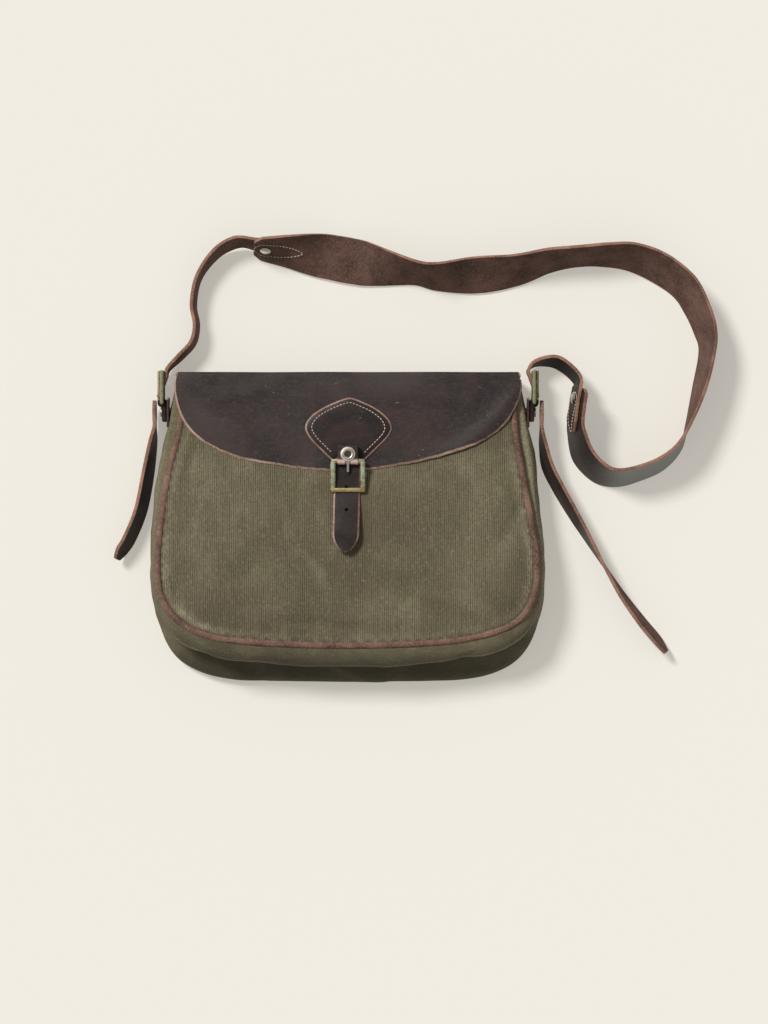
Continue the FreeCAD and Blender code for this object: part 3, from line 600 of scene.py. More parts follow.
def plate_mesh(name, edge, middle, place, thickness, materials, rings, slope=0.0):
    """A flat or domed piece inside a closed outline, from the edge to its middle.

    place(x, y, inside) is the point of its upper face; inside is 0 at the edge and 1 at the
    middle.  materials are those of the upper face, the lower face and the edge.  slope is how
    far the lower face reaches past the upper one.
    """
    count = len(edge)
    points, faces, slots = [], [], []
    shares = [k / rings for k in range(rings)]
    for layer in (0, 1):
        for share in shares:
            for x, y in edge + (middle - edge) * share:
                top = place(x, y, share)
                points.append(top - np.array([0, 0, thickness * layer]))
        points.append(place(*middle, 1.0) - np.array([0, 0, thickness * layer]))
    layer_size = rings * count + 1
    for layer in (0, 1):
        base = layer * layer_size
        for ring in range(rings - 1):
            for k in range(count):
                a, b = base + ring * count + k, base + ring * count + (k + 1) % count
                quad = (a, b, b + count, a + count)
                faces.append(quad if layer == 0 else quad[::-1])
                slots.append(layer)
        for k in range(count):
            a = base + (rings - 1) * count + k
            b = base + (rings - 1) * count + (k + 1) % count
            triangle = (a, b, base + layer_size - 1)
            faces.append(triangle if layer == 0 else triangle[::-1])
            slots.append(layer)
    for k in range(count):
        following = (k + 1) % count
        outward = edge[k] - middle
        outward = np.array([*(outward / np.linalg.norm(outward)), 0])
        points.append((points[k] + points[layer_size + k]) / 2
                      + outward * (0.7 * slope + 0.22 * thickness))
        points[layer_size + k] = points[layer_size + k] + outward * slope
        rim, rim_next = 2 * layer_size + k, 2 * layer_size + following
        faces.append((k, rim, rim_next, following))
        faces.append((rim, layer_size + k, layer_size + following, rim_next))
        slots += [2, 2]
    return mesh_object(name, points, faces, materials, slots)


def back_top(x, y):
    """Height of the back panel's inner face above the ground."""
    return (1.9 + 0.12 * ripple(x, y, scale=30)) * MM


def closed_outline(seam):
    """A seam line closed across the mouth, counter-clockwise."""
    mouth = np.linspace(seam[-1], seam[0], 120)[1:-1]
    return np.vstack([resample(seam, 420, 2), mouth])


front_panel = plate_mesh("front_canvas", closed_outline(FRONT_SEAM), PANEL_MIDDLE,
                         lambda x, y, inside: on_front(x, y, canvas_lift(x, y)),
                         1.2 * MM, [CANVAS_LOOK, SIDE_LOOK, CANVAS_LOOK], 64)
back_panel = plate_mesh("back_canvas", closed_outline(BACK_SEAM), BACK_MIDDLE,
                        lambda x, y, inside: np.array([x, y, back_top(x, y)]),
                        1.5 * MM, [SIDE_LOOK, CANVAS_LOOK, CANVAS_LOOK], 40)


def paint_wear_and_shade(target, shares):
    """Wear and painted light for canvas_material: red is rubbed pale, on the bottom fold's crest
    also a painted highlight; green is darkening, mostly painted shade.
    """
    layer = target.data.color_attributes.new("wear_and_shade", "FLOAT_COLOR", "POINT")
    for vertex, value in zip(target.data.vertices, layer.data):
        pale, darkened = shares(vertex.co.x, vertex.co.y, vertex.co.z)
        value.color = (clamp(pale), clamp(darkened), 0, 1)


def front_wear_and_shade(x, y, _):
    """Rubbed pale just inside the piping, most at the lower left; painted shade in the seam,
    painted shadows right of the closure strap and under the flap's right edge, and darker random
    patches some 16 mm in.
    """
    away = from_seam(x, y)
    where = 0.16 + 0.6 * bump(math.hypot(x + 0.140, y + 0.065), 0, 0.05)
    where += 0.5 * bump(math.hypot(x - 0.150, y + 0.010), 0, 0.05)
    uneven = 0.8 + 0.9 * ripple(x, y, scale=90, seed=51)
    rubbed_left = 0.16 * bump(x, -0.120, 0.022) * bump(y, 0.005, 0.05) * uneven
    # painted shade in the seam beside the piping
    darkened = bump(away, 1.5, 2.2)
    # darker random patches about 16 mm in from the seam
    darkened += 0.5 * bump(away, 16, 8) * max(0, ripple(x, y, scale=30, seed=52))
    # painted shadow on the canvas right of the closure strap
    darkened += 0.5 * bump(x, 0.0145, 0.0075) * bump(y, 0.010, 0.030)
    # painted shadow under the flap's raised right edge
    darkened += 0.55 * crease(x, y, (0.092, 0.062), (0.134, 0.084), 0.010)
    return bump(away, 6.5, 3.2) * where * uneven + rubbed_left, darkened


paint_wear_and_shade(front_panel, front_wear_and_shade)

# The gusset: a strip whose section runs from the front seam (0) to the back seam (1).  Each
# section lists (share, outward, up) in mm: at the bottom the canvas hangs over and tucks in.
SIDE_SECTION = spline([(0, 0.1, 0), (0.06, 0.12, -1.7), (0.12, 0.5, -0.6), (0.2, 0.86, 1.2),
                       (0.34, 1, 0.6), (0.6, 0.96, 0), (0.8, 0.7, 0), (0.93, 0.32, 0),
                       (1, 0.02, 0)], 10)
# How far the sides stand out at the lip, as (Y, outward) in mm.
SIDE_BULGE = [(-25, 4.6), (22, 6.0), (55, 8.4), (79, 8.8), (97, 7.4), (112, 5.2), (126, 2.0)]
BOTTOM_SECTION = spline([(0, 0.8, 0), (0.08, 4.2, 3.4), (0.16, 6.8, 5.4), (0.24, 8.3, 4.6),
                         (0.29, 6.6, 0.2), (0.36, -1.5, -1.0), (0.46, -4.5, 0.0),
                         (0.62, -1.2, 1.6), (0.8, 4.4, 1.8), (0.92, 3.6, 0.6), (1, 0.2, 0)], 7)
LIP_PLACE = 0.33                                 # share of the section's length at the lip
STRIP_STEPS, STRIP_ROWS = 620, 56
GUSSET_DEPTH = 0.05                              # front seam to back seam, in the folds' plan
STRIP_PITCH = 0.00126                            # seam run from one section to the next
FLAT_FROM, FLAT_AT = 0.062, 0.083                # Y where the side starts to lie flat, is flat
TAB_PLAY, SIDE_SPARE = 0.5 * MM, 6 * MM          # inside the tabs, and more below the flat part
BOTTOM_FROM, BOTTOM_SPAN = -0.058, 0.03          # Y where the bottom's section takes over


def strip_point(front, back, outward, section_share, bottom, run):
    """A point of the gusset's outer face."""
    side = np.array([np.interp(section_share, np.linspace(0, 1, len(SIDE_SECTION)), column)
                     for column in SIDE_SECTION.T])
    tucked = np.array([np.interp(section_share, np.linspace(0, 1, len(BOTTOM_SECTION)), column)
                       for column in BOTTOM_SECTION.T])
    swell = np.interp(front[1] / MM, *zip(*SIDE_BULGE))
    side = side * np.array([1, swell, 1])
    blend = side * (1 - bottom) + tucked * bottom
    across = clamp(blend[0])
    point = front * (1 - across) + back * across
    middle, down = math.sin(math.pi * across), across * GUSSET_DEPTH
    wrinkle = middle * (1.3 * ripple(run, down, scale=24, seed=4)
                        + 0.8 * ripple(run, across * 0.09, scale=62, seed=9)
                        + bottom * 3.4 * ripple(run, across * 0.045, scale=17, seed=2)
                        + bottom * 4.0 * crease(run, down, (0.355, 0.021), (0.43, 0.044), 0.005)
                        - bottom * 3.0 * crease(run, down, (0.375, 0.019), (0.46, 0.038), 0.005)
                        - bottom * 3.0 * bump(run + across * 0.10, 0.52, 0.013)
                        - bottom * 3.2 * bump(run - across * 0.09, 0.24, 0.012))
    near_mouth = clamp((point[1] - FLAT_FROM) / (FLAT_AT - FLAT_FROM))
    bulge = (blend[1] + wrinkle * (1 - 0.85 * near_mouth)) * MM
    placed = point + np.array([*(outward * bulge), blend[2] * MM])
    if near_mouth > 0:                           # the side tabs lie on the canvas here
        limit = TAB_FACE - TAB_PLAY + (1 - near_mouth) * SIDE_SPARE
        placed[0] = max(-limit, min(limit, placed[0]))
    return placed


front_line = resample(FRONT_SEAM, STRIP_STEPS, 2)
back_line = resample(BACK_SEAM, STRIP_STEPS, 2)
strip = np.zeros((STRIP_STEPS, STRIP_ROWS, 3))
for i, (f, b) in enumerate(zip(front_line, back_line)):
    step = front_line[min(i + 1, STRIP_STEPS - 1)] - front_line[max(i - 1, 0)]
    step = step + back_line[min(i + 1, STRIP_STEPS - 1)] - back_line[max(i - 1, 0)]
    step /= np.linalg.norm(step)
    outward = np.array([step[1], -step[0]])      # the seams run counter-clockwise
    bottom = ease((BOTTOM_FROM - f[1]) / BOTTOM_SPAN)
    start = on_front(f[0], f[1], PIPING_LIFT)
    end = np.array([b[0], b[1], BACK_PIPING_Z])
    run = i * STRIP_PITCH
    for j in range(STRIP_ROWS):
        strip[i, j] = strip_point(start, end, outward, j / (STRIP_ROWS - 1), bottom, run)
gusset = sheet_mesh("gusset_canvas", strip, -1.3 * MM, [SIDE_LOOK] * 3)

lip_z = strip[STRIP_STEPS // 2][round(LIP_PLACE * (STRIP_ROWS - 1))][2]


def gusset_wear_and_shade(x, y, z):
    """Dry and pale at the upper right; rubbed pale along the ridge over the bottom fold, partly a
    painted highlight; painted shade just under the ridge.
    """
    dry = clamp((abs(x) - 0.135) / 0.008) * clamp((y + 0.10) / 0.06)
    dry *= 1.0 if x > 0 else 0.45
    low = clamp((-0.085 - y) / 0.012)
    # rubbed pale along the fold's crest, partly a painted highlight
    crest_rub_and_highlight = bump(z, lip_z, 0.0026) * low
    # painted shade just under the ridge
    under = bump(z, lip_z - 0.014, 0.009) * low
    return (0.9 * dry + crest_rub_and_highlight * (0.95 + 0.5 * ripple(x, y, scale=60, seed=53)),
            under * (0.55 + 0.4 * ripple(x, z, scale=30, seed=54)))


paint_wear_and_shade(gusset, gusset_wear_and_shade)


def piping(name, seam, place, radius, flatten, sides=18):
    """Leather piping along a seam: a folded strip, wavy and slightly flattened."""
    path = np.array([place(x, y) + np.array([0, 0, 0.35 * MM * ripple(x, y, scale=60, seed=7)])
                     for x, y in resample(seam, 520, 2)])
    along = np.gradient(path, axis=0)
    along /= np.linalg.norm(along, axis=1, keepdims=True)
    points = []
    for p, t in zip(path, along):
        side = np.cross(t, np.array([0, 0, 1.0]))
        side /= max(np.linalg.norm(side), 1e-9)
        top = np.cross(side, t)
        for k in range(sides):
            angle = 2 * math.pi * k / sides
            reach = radius * (1 + 0.10 * ripple(*p[:2], angle * 0.01, scale=130, seed=6)
                              + 0.05 * math.cos(2 * angle) * flatten)
            points.append(p + (side * math.cos(angle) + top * math.sin(angle)) * reach)
    return mesh_object(name, points, tube_faces(0, len(path), sides), [PIPING_LOOK])


front_piping = piping("front_piping_leather", FRONT_SEAM,
                      lambda x, y: on_front(x, y, PIPING_LIFT + 0.8 * MM), 2.6 * MM, 1.5)
back_piping = piping("back_piping_leather", BACK_SEAM,
                     lambda x, y: np.array([x, y, BACK_PIPING_Z]), 2.15 * MM, 1)


# ------------------------------------------------------------------ flap leather

FLAP_EDGE = spline(np.array([                    # lower edge of the flap in plan, mm
    (-143.5, 127.4), (-144.5, 120), (-143.4, 108.5), (-138.5, 93.5), (-128.5, 80), (-114.5, 69.5),
    (-96, 61.5), (-76, 56.8), (-43, 51.5), (-16, 49.3), (0, 49.4), (20, 50.2), (41, 53.6),
    (62, 57.6), (90, 65.5), (114, 75), (131, 88.5), (141.5, 106), (144.8, 119),
    (143.5, 127.4)]) * MM)
FOLD_BEND = 1.7 * MM                             # radius of the folds' middle surface
SPINE_HALF, FLAP_HALF, ANCHOR_HALF = 135 * MM, 143 * MM, 135 * MM
ANCHOR_START = 100 * MM
ANCHOR_Z = CANVAS + 0.05 * MM + LEATHER / 2
FLAP_COLUMNS, FLAP_ROWS = 320, 64
EDGE_LINE = resample(FLAP_EDGE, FLAP_COLUMNS, 2)


def flap_wave(x, y):
    """Unevenness of the flap leather, mm: soft waves, a limp lower edge and shallow dents."""
    near_edge = bump(y, flap_line(x, 66), 0.012)
    return (0.30 * ripple(x, y, scale=16, seed=11) + 0.16 * ripple(x, y, scale=42, seed=12)
            + 0.30 * near_edge * ripple(x, y, scale=36, seed=13) - 0.45 * near_edge
            + near_edge * (2.3 * bump(x, 0.112, 0.034) + 1.0 * bump(x, 0.070, 0.025))
            - 0.25 * bump(y, 0.100, 0.007) * bump(x, 0.055, 0.05)
            + 0.30 * crease(x, y, (-0.120, 0.108), (-0.060, 0.116), 0.006)
            + 0.25 * crease(x, y, (0.060, 0.112), (0.125, 0.098), 0.006))


def fold_arc(center_y, center_z, start, end, steps):
    """Points of the middle surface round a fold, as (Y, Z)."""
    angles = np.radians(np.linspace(start, end, steps))
    return [(center_y + FOLD_BEND * math.cos(a), center_z + FOLD_BEND * math.sin(a))
            for a in angles]


spine_middle = (FOLD_LOW + FOLD_HIGH) / 2
low_center = (FOLD_Y - FOLD_BEND, ANCHOR_Z + FOLD_BEND)
low_path = [(y, ANCHOR_Z) for y in np.linspace(ANCHOR_START, low_center[0], 14)]
low_path += fold_arc(*low_center, -78, 0, 7)
low_path += [(FOLD_Y, z) for z in np.linspace(low_center[1] + MM, spine_middle, 8)]
columns = np.linspace(-ANCHOR_HALF, ANCHOR_HALF, 140)
low_grid = np.array([[(x, y, z) for x in columns] for y, z in low_path])
low_normals = grid_normals(low_grid)
flap_back = sheet_mesh("flap_back_leather", low_grid - low_normals * LEATHER / 2, LEATHER,
                       [FLAP_LOOK, FLESH_LOOK, STRAP_EDGE_LOOK], low_normals)

top_start = on_front(0, FOLD_Y - FOLD_BEND, FLAP_LIFT + LEATHER / 2)
high_center = (FOLD_Y - FOLD_BEND, top_start[2] - FOLD_BEND)
high_path = [(FOLD_Y, z) for z in np.linspace(spine_middle, high_center[1] - 0.8 * MM, 12)]
high_path += fold_arc(*high_center, 0, 84, 9)
rows = []
for share, (y, z) in zip(np.linspace(0, 1, len(high_path)), high_path):
    half = SPINE_HALF + (FLAP_HALF - SPINE_HALF) * min(1, share * 1.6)
    sag = 0.35 * MM * share
    rows.append([(x, y + sag * ripple(x, 0, scale=22, seed=14), z)
                 for x in np.linspace(-half, half, FLAP_COLUMNS)])
for r in range(1, FLAP_ROWS + 1):
    share = r / FLAP_ROWS
    row = []
    for k in range(FLAP_COLUMNS):
        top_x = -FLAP_HALF + 2 * FLAP_HALF * k / (FLAP_COLUMNS - 1)
        edge_x, edge_y = EDGE_LINE[k]
        fray = 0.5 * MM * ripple(edge_x, edge_y, scale=240, seed=15) * share ** 8
        x = top_x + (edge_x - top_x) * share
        y = high_center[0] + (edge_y - high_center[0]) * share + fray
        settle = min(1, share / 0.08)
        row.append(on_front(x, y, FLAP_LIFT + LEATHER / 2 + flap_wave(x, y) * settle * MM))
    rows.append(row)
high_grid = np.array(rows)
high_normals = grid_normals(high_grid)
flap = sheet_mesh("flap_leather", high_grid - high_normals * LEATHER / 2, LEATHER,
                  [FLAP_LOOK, FLESH_LOOK, FLAP_EDGE_LOOK], high_normals, 1.9 * MM)

# ------------------------------------------------------------------ closure

PATCH_EDGE = spline(np.array([                   # the shield in plan, mm
    (0, 57.2), (12, 57.4), (14.6, 58.8), (22.8, 66.8), (29.2, 73), (33.8, 78.6), (35.3, 84),
    (32.8, 90.2), (27, 95.8), (20, 100.4), (12.5, 103.8), (6.5, 106.3), (1.6, 107.6),
    (-3.5, 106.5), (-10.5, 103.9), (-19, 100), (-27, 95.2), (-32.6, 89.6), (-34.6, 84),
    (-33, 78.8), (-28.8, 73), (-22.4, 66.6), (-14.2, 58.6), (-12, 57.4), (0, 57.2)]) * MM)[:-1]
PATCH_MIDDLE = np.array([0.0, 84 * MM])
PATCH_SEAT = FLAP_LIFT + LEATHER


def patch_top(x, y, inside):
    """Upper face of the closure patch: thinner at its skived edge."""
    rise = 1 - math.exp(-inside / 0.10)
    height = (1.35 + 0.85 * rise + 0.12 * ripple(x, y, scale=60, seed=21)) * MM
    return on_front(x, y, PATCH_SEAT + 0.25 * MM + height)


patch = plate_mesh("patch_leather", PATCH_EDGE, PATCH_MIDDLE, patch_top, 1.9 * MM,
                   [PATCH_LOOK, FLESH_LOOK, EDGE_LOOK], 26, 1.3 * MM)

# Stitches inside the patch's edge, open where the strap comes out below.
INSET, OPEN_BELOW, THREAD_LIFT = 0.125, 62 * MM, 0.12 * MM
ring = PATCH_EDGE + (PATCH_MIDDLE - PATCH_EDGE) * INSET
ring = ring[ring[:, 1] > OPEN_BELOW]
split = np.argmax(np.linalg.norm(np.diff(ring, axis=0, append=ring[:1]), axis=1))
ring = np.roll(ring, -(split + 1), axis=0)
thread_path = np.array([patch_top(x, y, INSET) for x, y in ring])
thread_normals = np.tile(FRONT_NORMAL, (len(ring), 1))
patch_thread = stitches("patch_stitches", thread_path + thread_normals * THREAD_LIFT,
                        thread_normals)

STRAP_TOP_Y, STRAP_TIP_Y, CLOSURE_HALF, CLOSURE_THICK = 57.4 * MM, -20 * MM, 9.7 * MM, 2.4 * MM
HOLE_PLACES, HOLE, HOLE_X = (34 * MM, 15 * MM), 1.5 * MM, -1.2 * MM
STEP_Y, STEP_LONG = 29 * MM, 18 * MM             # where the strap comes down off the flap
RISE_Y, RISE_LONG, RISE = 30 * MM, 38 * MM, 5.2 * MM     # its stiff end stands off the canvas
POINT_LONG = 15 * MM
STRAP_SHIFT, STRAP_SLANT, STRAP_CROWN = -0.9 * MM, 0.024, 0.25 * MM


def closure_lift(y):
    """Height of the closure strap's underside: on the flap, then down onto the canvas."""
    on_flap = PATCH_SEAT + 0.05 * MM
    on_canvas = max(canvas_lift(x, y) for x in (-9 * MM, 0, 9 * MM)) + 0.25 * MM
    share = ease((y - STEP_Y) / STEP_LONG)
    return on_canvas + (on_flap - on_canvas) * share + RISE * ease((RISE_Y - y) / RISE_LONG)


def closure_half(y):
    """Half width of the closure strap, with its pointed tip."""
    to_tip = max(0.0, (y - STRAP_TIP_Y) / POINT_LONG)
    if to_tip >= 1:
        return CLOSURE_HALF
    return CLOSURE_HALF * (0.14 + 0.86 * math.sin(math.pi / 2 * to_tip) ** 0.66)


closure_grid = []
for y in np.linspace(STRAP_TOP_Y, STRAP_TIP_Y, 90):
    lift, half = closure_lift(y), closure_half(y)
    closure_grid.append([on_front(x + STRAP_SHIFT + STRAP_SLANT * (y - 30 * MM), y,
                                  lift + STRAP_CROWN * (1 - (x / max(half, MM)) ** 2))
                         for x in np.linspace(-half, half, 19)])
closure_grid = np.array(closure_grid)
closure_strap = sheet_mesh("closure_strap_leather", closure_grid, CLOSURE_THICK,
                           [PATCH_LOOK, FLESH_LOOK, EDGE_LOOK],
                           np.tile(FRONT_NORMAL, (*closure_grid.shape[:2], 1)), 1.4 * MM)


def punch(target, place, radius):
    """A round hole through a piece."""
    bpy.ops.mesh.primitive_cylinder_add(radius=radius, depth=20 * MM, vertices=28, location=place)
    tool = bpy.context.object
    cutter = target.modifiers.new("hole", "BOOLEAN")
    cutter.operation, cutter.object, cutter.solver = "DIFFERENCE", tool, "EXACT"
    bpy.context.view_layer.objects.active = target
    bpy.ops.object.modifier_apply(modifier=cutter.name)
    bpy.data.objects.remove(tool, do_unlink=True)


for y in HOLE_PLACES:
    punch(closure_strap, on_front(HOLE_X, y, 6 * MM), HOLE)

# Closure buckle: round bars in a square, the heel bar on the heel line.
BUCKLE_HALF, BUCKLE_LONG = 14.6 * MM, 26.2 * MM
dropped = HEEL @ Matrix.Rotation(BUCKLE_DROP, 4, "X")
side_x, far_y = BUCKLE_HALF - 2.1 * MM, -(BUCKLE_LONG - 1.9 * MM)
frame_bars = [
    rounded_box("buckle_near", (2 * BUCKLE_HALF - MM, 3.9 * MM, 3.1 * MM), dropped, VERDIGRIS_LOOK,
                1.3 * MM),
    rounded_box("buckle_far", (2 * BUCKLE_HALF, 3.9 * MM, 3.3 * MM),
                dropped @ Matrix.Translation((0, far_y, 0)), BRASS_LOOK, 1.3 * MM)]
for sign in (-1, 1):
    place = dropped @ Matrix.Translation((sign * side_x, far_y / 2, 0))
    frame_bars.append(rounded_box("buckle_side", (4.2 * MM, -far_y, 3.3 * MM), place,
                                  VERDIGRIS_LOOK, 1.2 * MM))
closure_buckle = join("closure_buckle", frame_bars)

CAP_LIFT = HEEL_LIFT + 3.0 * MM                  # seat of the snap cap on the chape
cap_place = FRONT @ Matrix.Translation((0, SNAP_Y, CAP_LIFT))
snap_cap = lathe_mesh("snap_cap_turned", in_metres([
    (0.4, -9), (1.45, -9), (1.45, 0), (5.7, 0.05), (6.2, 0.3), (6.1, 0.65), (5.2, 0.75),
    (4.6, 0.8), (4.5, 1.6), (4.1, 2.1), (3.5, 2.15), (3.0, 1.8), (2.7, 1.0), (2.6, 0.3)]),
    cap_place, NICKEL_LOOK)
snap_recess = lathe_mesh("snap_recess", in_metres([
    (0.3, 0.25), (2.8, 0.25), (2.8, 0.9), (1.9, 0.6), (0.3, 0.5)]), cap_place, RECESS_LOOK)
snap_cap = join("snap_cap_turned", [snap_cap, snap_recess])


def refined(node, name, material, voxel, rounds, relief=0.0, seed=0):
    """A finely meshed, rounded piece made from a CAD node, with a slightly uneven surface."""
    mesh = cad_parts[node].data.copy()
    obj = linked(name, mesh)
    mesh.materials.clear()
    mesh.materials.append(material)
    remesh = obj.modifiers.new("remesh", "REMESH")
    remesh.mode, remesh.voxel_size, remesh.use_smooth_shade = "VOXEL", voxel, True
    smooth = obj.modifiers.new("smooth", "SMOOTH")
    smooth.factor, smooth.iterations = 0.6, rounds
    bpy.context.view_layer.objects.active = obj
    for modifier in (remesh.name, smooth.name):
        bpy.ops.object.modifier_apply(modifier=modifier)
    for vertex in obj.data.vertices:
        if relief:
            vertex.co += vertex.normal * relief * ripple(*vertex.co, scale=260, seed=seed)
    return obj


chape = refined("buckle_chape", "chape_leather", CHAPE_LOOK, 0.4 * MM, 3, 0.25 * MM, 31)
closure_tongue = refined("closure_buckle_tongue", "closure_tongue", NICKEL_LOOK, 0.3 * MM, 3)

# CAD node: piece, look, voxel size in mm, rounds of smoothing, relief in mm, its seed, slot
SIDE_KINDS = {
    "side_tab": ("tab_leather", TAB_LOOK, 0.7, 2, 0.3, 32, "strap_leather"),
    "side_chape": ("side_chape_leather", GRAIN_LOOK, 0.7, 3, 0.25, 33, "strap_leather"),
    "side_buckle_frame": ("side_frame", SIDE_BRASS_LOOK, 0.55, 4, 0.08, 34, "buckle_brass"),
    "side_buckle_tongue": ("side_tongue", BRASS_LOOK, 0.4, 3, 0, 0, "buckle_brass"),
    "side_rivet": ("side_rivet_turned", NICKEL_LOOK, 0.45, 2, 0, 0, "nickel")}
side_pieces = {
    (side, kind): refined(f"{kind}_{side}", f"{name}_{side}", look, voxel * MM, rounds,
                          relief * MM, seed)
    for side in ("left", "right")
    for kind, (name, look, voxel, rounds, relief, seed, _) in SIDE_KINDS.items()}


# ------------------------------------------------------------------ straps

# Routes of the leather, near the CAD's: x and y in mm, lean in degrees, rise in mm, share of
# the width.  The leather stands on its edge, leaning by that angle to the left of travel.
SHOULDER_ROUTE = [
    (-79, 235.6, 22, 0, 0.6), (-74, 235.0, 24, 0, 0.95), (-69.5, 234.4, 27, 0, 1),
    (-53, 233, 38, 0, 1), (-38, 231.3, 52, 0, 1), (-17, 228.5, 72, 0, 1), (7, 224, 74, 0, 1),
    (31, 219, 47, 0, 1), (57, 214.6, 27, 0, 1), (75.6, 211.5, 33, 0, 1), (109, 213, 48, 0, 1),
    (142, 217, 38, 0, 1), (170, 225, 27, 0, 1), (195, 228.5, 22, 0, 1), (218, 229.5, 26, 0, 1),
    (239, 228, 33, 0, 1), (262, 219, 37, 0, 1), (283, 203, 33, 0, 1), (294, 184, 28, 0, 1),
    (300.8, 165, 23, 0, 1), (302.2, 148, 15, 0, 1), (295.8, 117, 11.5, 0, 1), (286.6, 87, 1, 0, 1),
    (278, 67.5, -9, 0, 1), (263.5, 54, -15, 0, 1), (245, 46, -17, 0, 1), (227, 42, -20, 0, 1),
    (212, 46, -24, 0, 1), (198, 60.5, -25, 0, 1), (192, 81, -18, 0, 1), (191.7, 90, -16, 0, 1),
    (193, 99.5, -15, 0, 1), (194.3, 108, -15, 0, 1), (195.3, 113, -15, 0, 0.95),
    (196, 117, -15, 0, 0.6)]
LEFT_ROUTE = [                                   # steeper than in the CAD, as it is seen
    (-159.7, 109.8, 0, 4.5, 1), (-157.1, 116.5, 0, 4.5, 1), (-153.4, 126.5, 0, 4.3, 1),
    (-151.6, 133.5, 4, 3, 1), (-141.5, 144, 9, 1, 1), (-131, 156, 9, 0, 1), (-128, 171, 8, 0, 1),
    (-130.5, 188, 8, 0, 1), (-126, 211, 9, 0, 1), (-111.5, 231, 17, 2, 1),
    (-94, 240.5, 23, 5, 1)]
RIGHT_ROUTE = [
    (193.5, 124, -18, 5, 1), (187, 132, -22, 2, 1), (176.5, 139.2, -25, 0.5, 1),
    (166.5, 140.2, -18, 1, 1), (156.5, 137.8, -8, 3, 1), (151.8, 132.2, 0, 4.3, 1),
    (153.4, 126.5, 0, 4.3, 1), (157.1, 116.5, 0, 4.5, 1), (159.7, 109.8, 0, 4.5, 1)]
LEFT_TAIL = [
    (-163, 97, 0, 4.5, 1), (-163, 85, 0, 4.5, 1), (-164.6, 72, -12, 2, 1), (-169, 45, -22, 0, 1),
    (-175, 15, -24, 0, 1), (-184.5, -9, -24, 0, 1), (-191, -19.5, -24, 0, 0.9),
    (-195, -26.5, -24, 0, 0.4)]
RIGHT_TAIL = [
    (163, 97, 0, 4.5, 1), (163, 85, 0, 4.5, 1), (164.4, 70, 12, 2, 1), (168, 52, 22, 0, 1),
    (177, 33.5, 23, 0, 1), (190, 11, 19, 0, 1), (203, -10.5, 10, 0, 1), (217, -34, -2, 0, 1),
    (231, -57, -12, 0, 1), (247.5, -79.5, -18, 0, 1), (260.5, -95, -20, 0, 0.9),
    (268, -105, -20, 0, 0.4)]
LAP = STRAP + 0.4 * MM                           # narrow straps lie this far off the wide one
STRAP_BODY = STRAP * 0.93                        # thickness away from the edges and rivets
RIBBON_COLUMNS = 17
LEFT_LAP, RIGHT_LAP = slice(0, 5), slice(29, 35)
RUN_END, BEND_END = 16, 24                       # stations where the bending stretch starts, ends
PIVOT_Y, PIVOT_Z, EYE_X = 97 * MM, 14.5 * MM, 163 * MM


def stations(route, width):
    """Rows of centre, across and outward directions and half width along a route."""
    result = []
    for index, (x, y, lean, rise, share) in enumerate(route):
        before, after = route[max(index - 1, 0)], route[min(index + 1, len(route) - 1)]
        along = np.array([after[0] - before[0], after[1] - before[1]], float)
        along /= np.linalg.norm(along)
        left, up, tilt = np.array([-along[1], along[0], 0]), np.array([0, 0, 1]), math.radians(lean)
        height = rise * MM + width / 2 * math.cos(tilt) + STRAP / 2 * abs(math.sin(tilt))
        result.append(np.concatenate([
            [x * MM, y * MM, height], left * math.sin(tilt) + up * math.cos(tilt),
            left * math.cos(tilt) - up * math.sin(tilt), [width / 2 * share]]))
    return np.array(result)


def lapped(places, shares):
    """Stations of a narrow strap's pointed end on the shoulder strap's grain side."""
    moved = places.copy()
    moved[:, :3] += places[:, 6:9] * LAP
    moved[:, 9] = NARROW / 2 * np.array(shares)
    return moved


def ribbon(name, places, first, last, seed, grain=GRAIN_LOOK):
    """A strap between two of its stations, with a limp, slightly uneven body."""
    dense = 12
    line = spline(places, dense)[first * dense:last * dense + 1]
    line = np.stack([np.interp(np.linspace(0, len(line) - 1, len(line) * 2 - 1),
                               np.arange(len(line)), column) for column in line.T], axis=1)
    across = line[:, 3:6] / np.linalg.norm(line[:, 3:6], axis=1, keepdims=True)
    outward = line[:, 6:9] / np.linalg.norm(line[:, 6:9], axis=1, keepdims=True)
    grid, normals = [], []
    for row, a, o in zip(line, across, outward):
        x, y = row[:2]
        grid.append([])
        for v in np.linspace(-1, 1, RIBBON_COLUMNS):
            edge_wave = 1 + 0.012 * ripple(x, y, v, scale=95, seed=seed)
            cup = 0.5 * MM * (v * v - 0.4) * ripple(x, y, scale=14, seed=seed + 1)
            grid[-1].append(row[:3] + a * row[9] * v * edge_wave + o * (cup - STRAP_BODY / 2))
        normals.append([o] * RIBBON_COLUMNS)
    grid = np.array(grid)
    sink = np.minimum(grid[:, :, 2].min(axis=1), 0)       # no edge goes below the ground
    grid[:, :, 2] -= sink[:, None]
    return sheet_mesh(name, grid, STRAP_BODY, [grain, FLESH_LOOK, STRAP_EDGE_LOOK],
                      np.array(normals), 0.3 * MM)


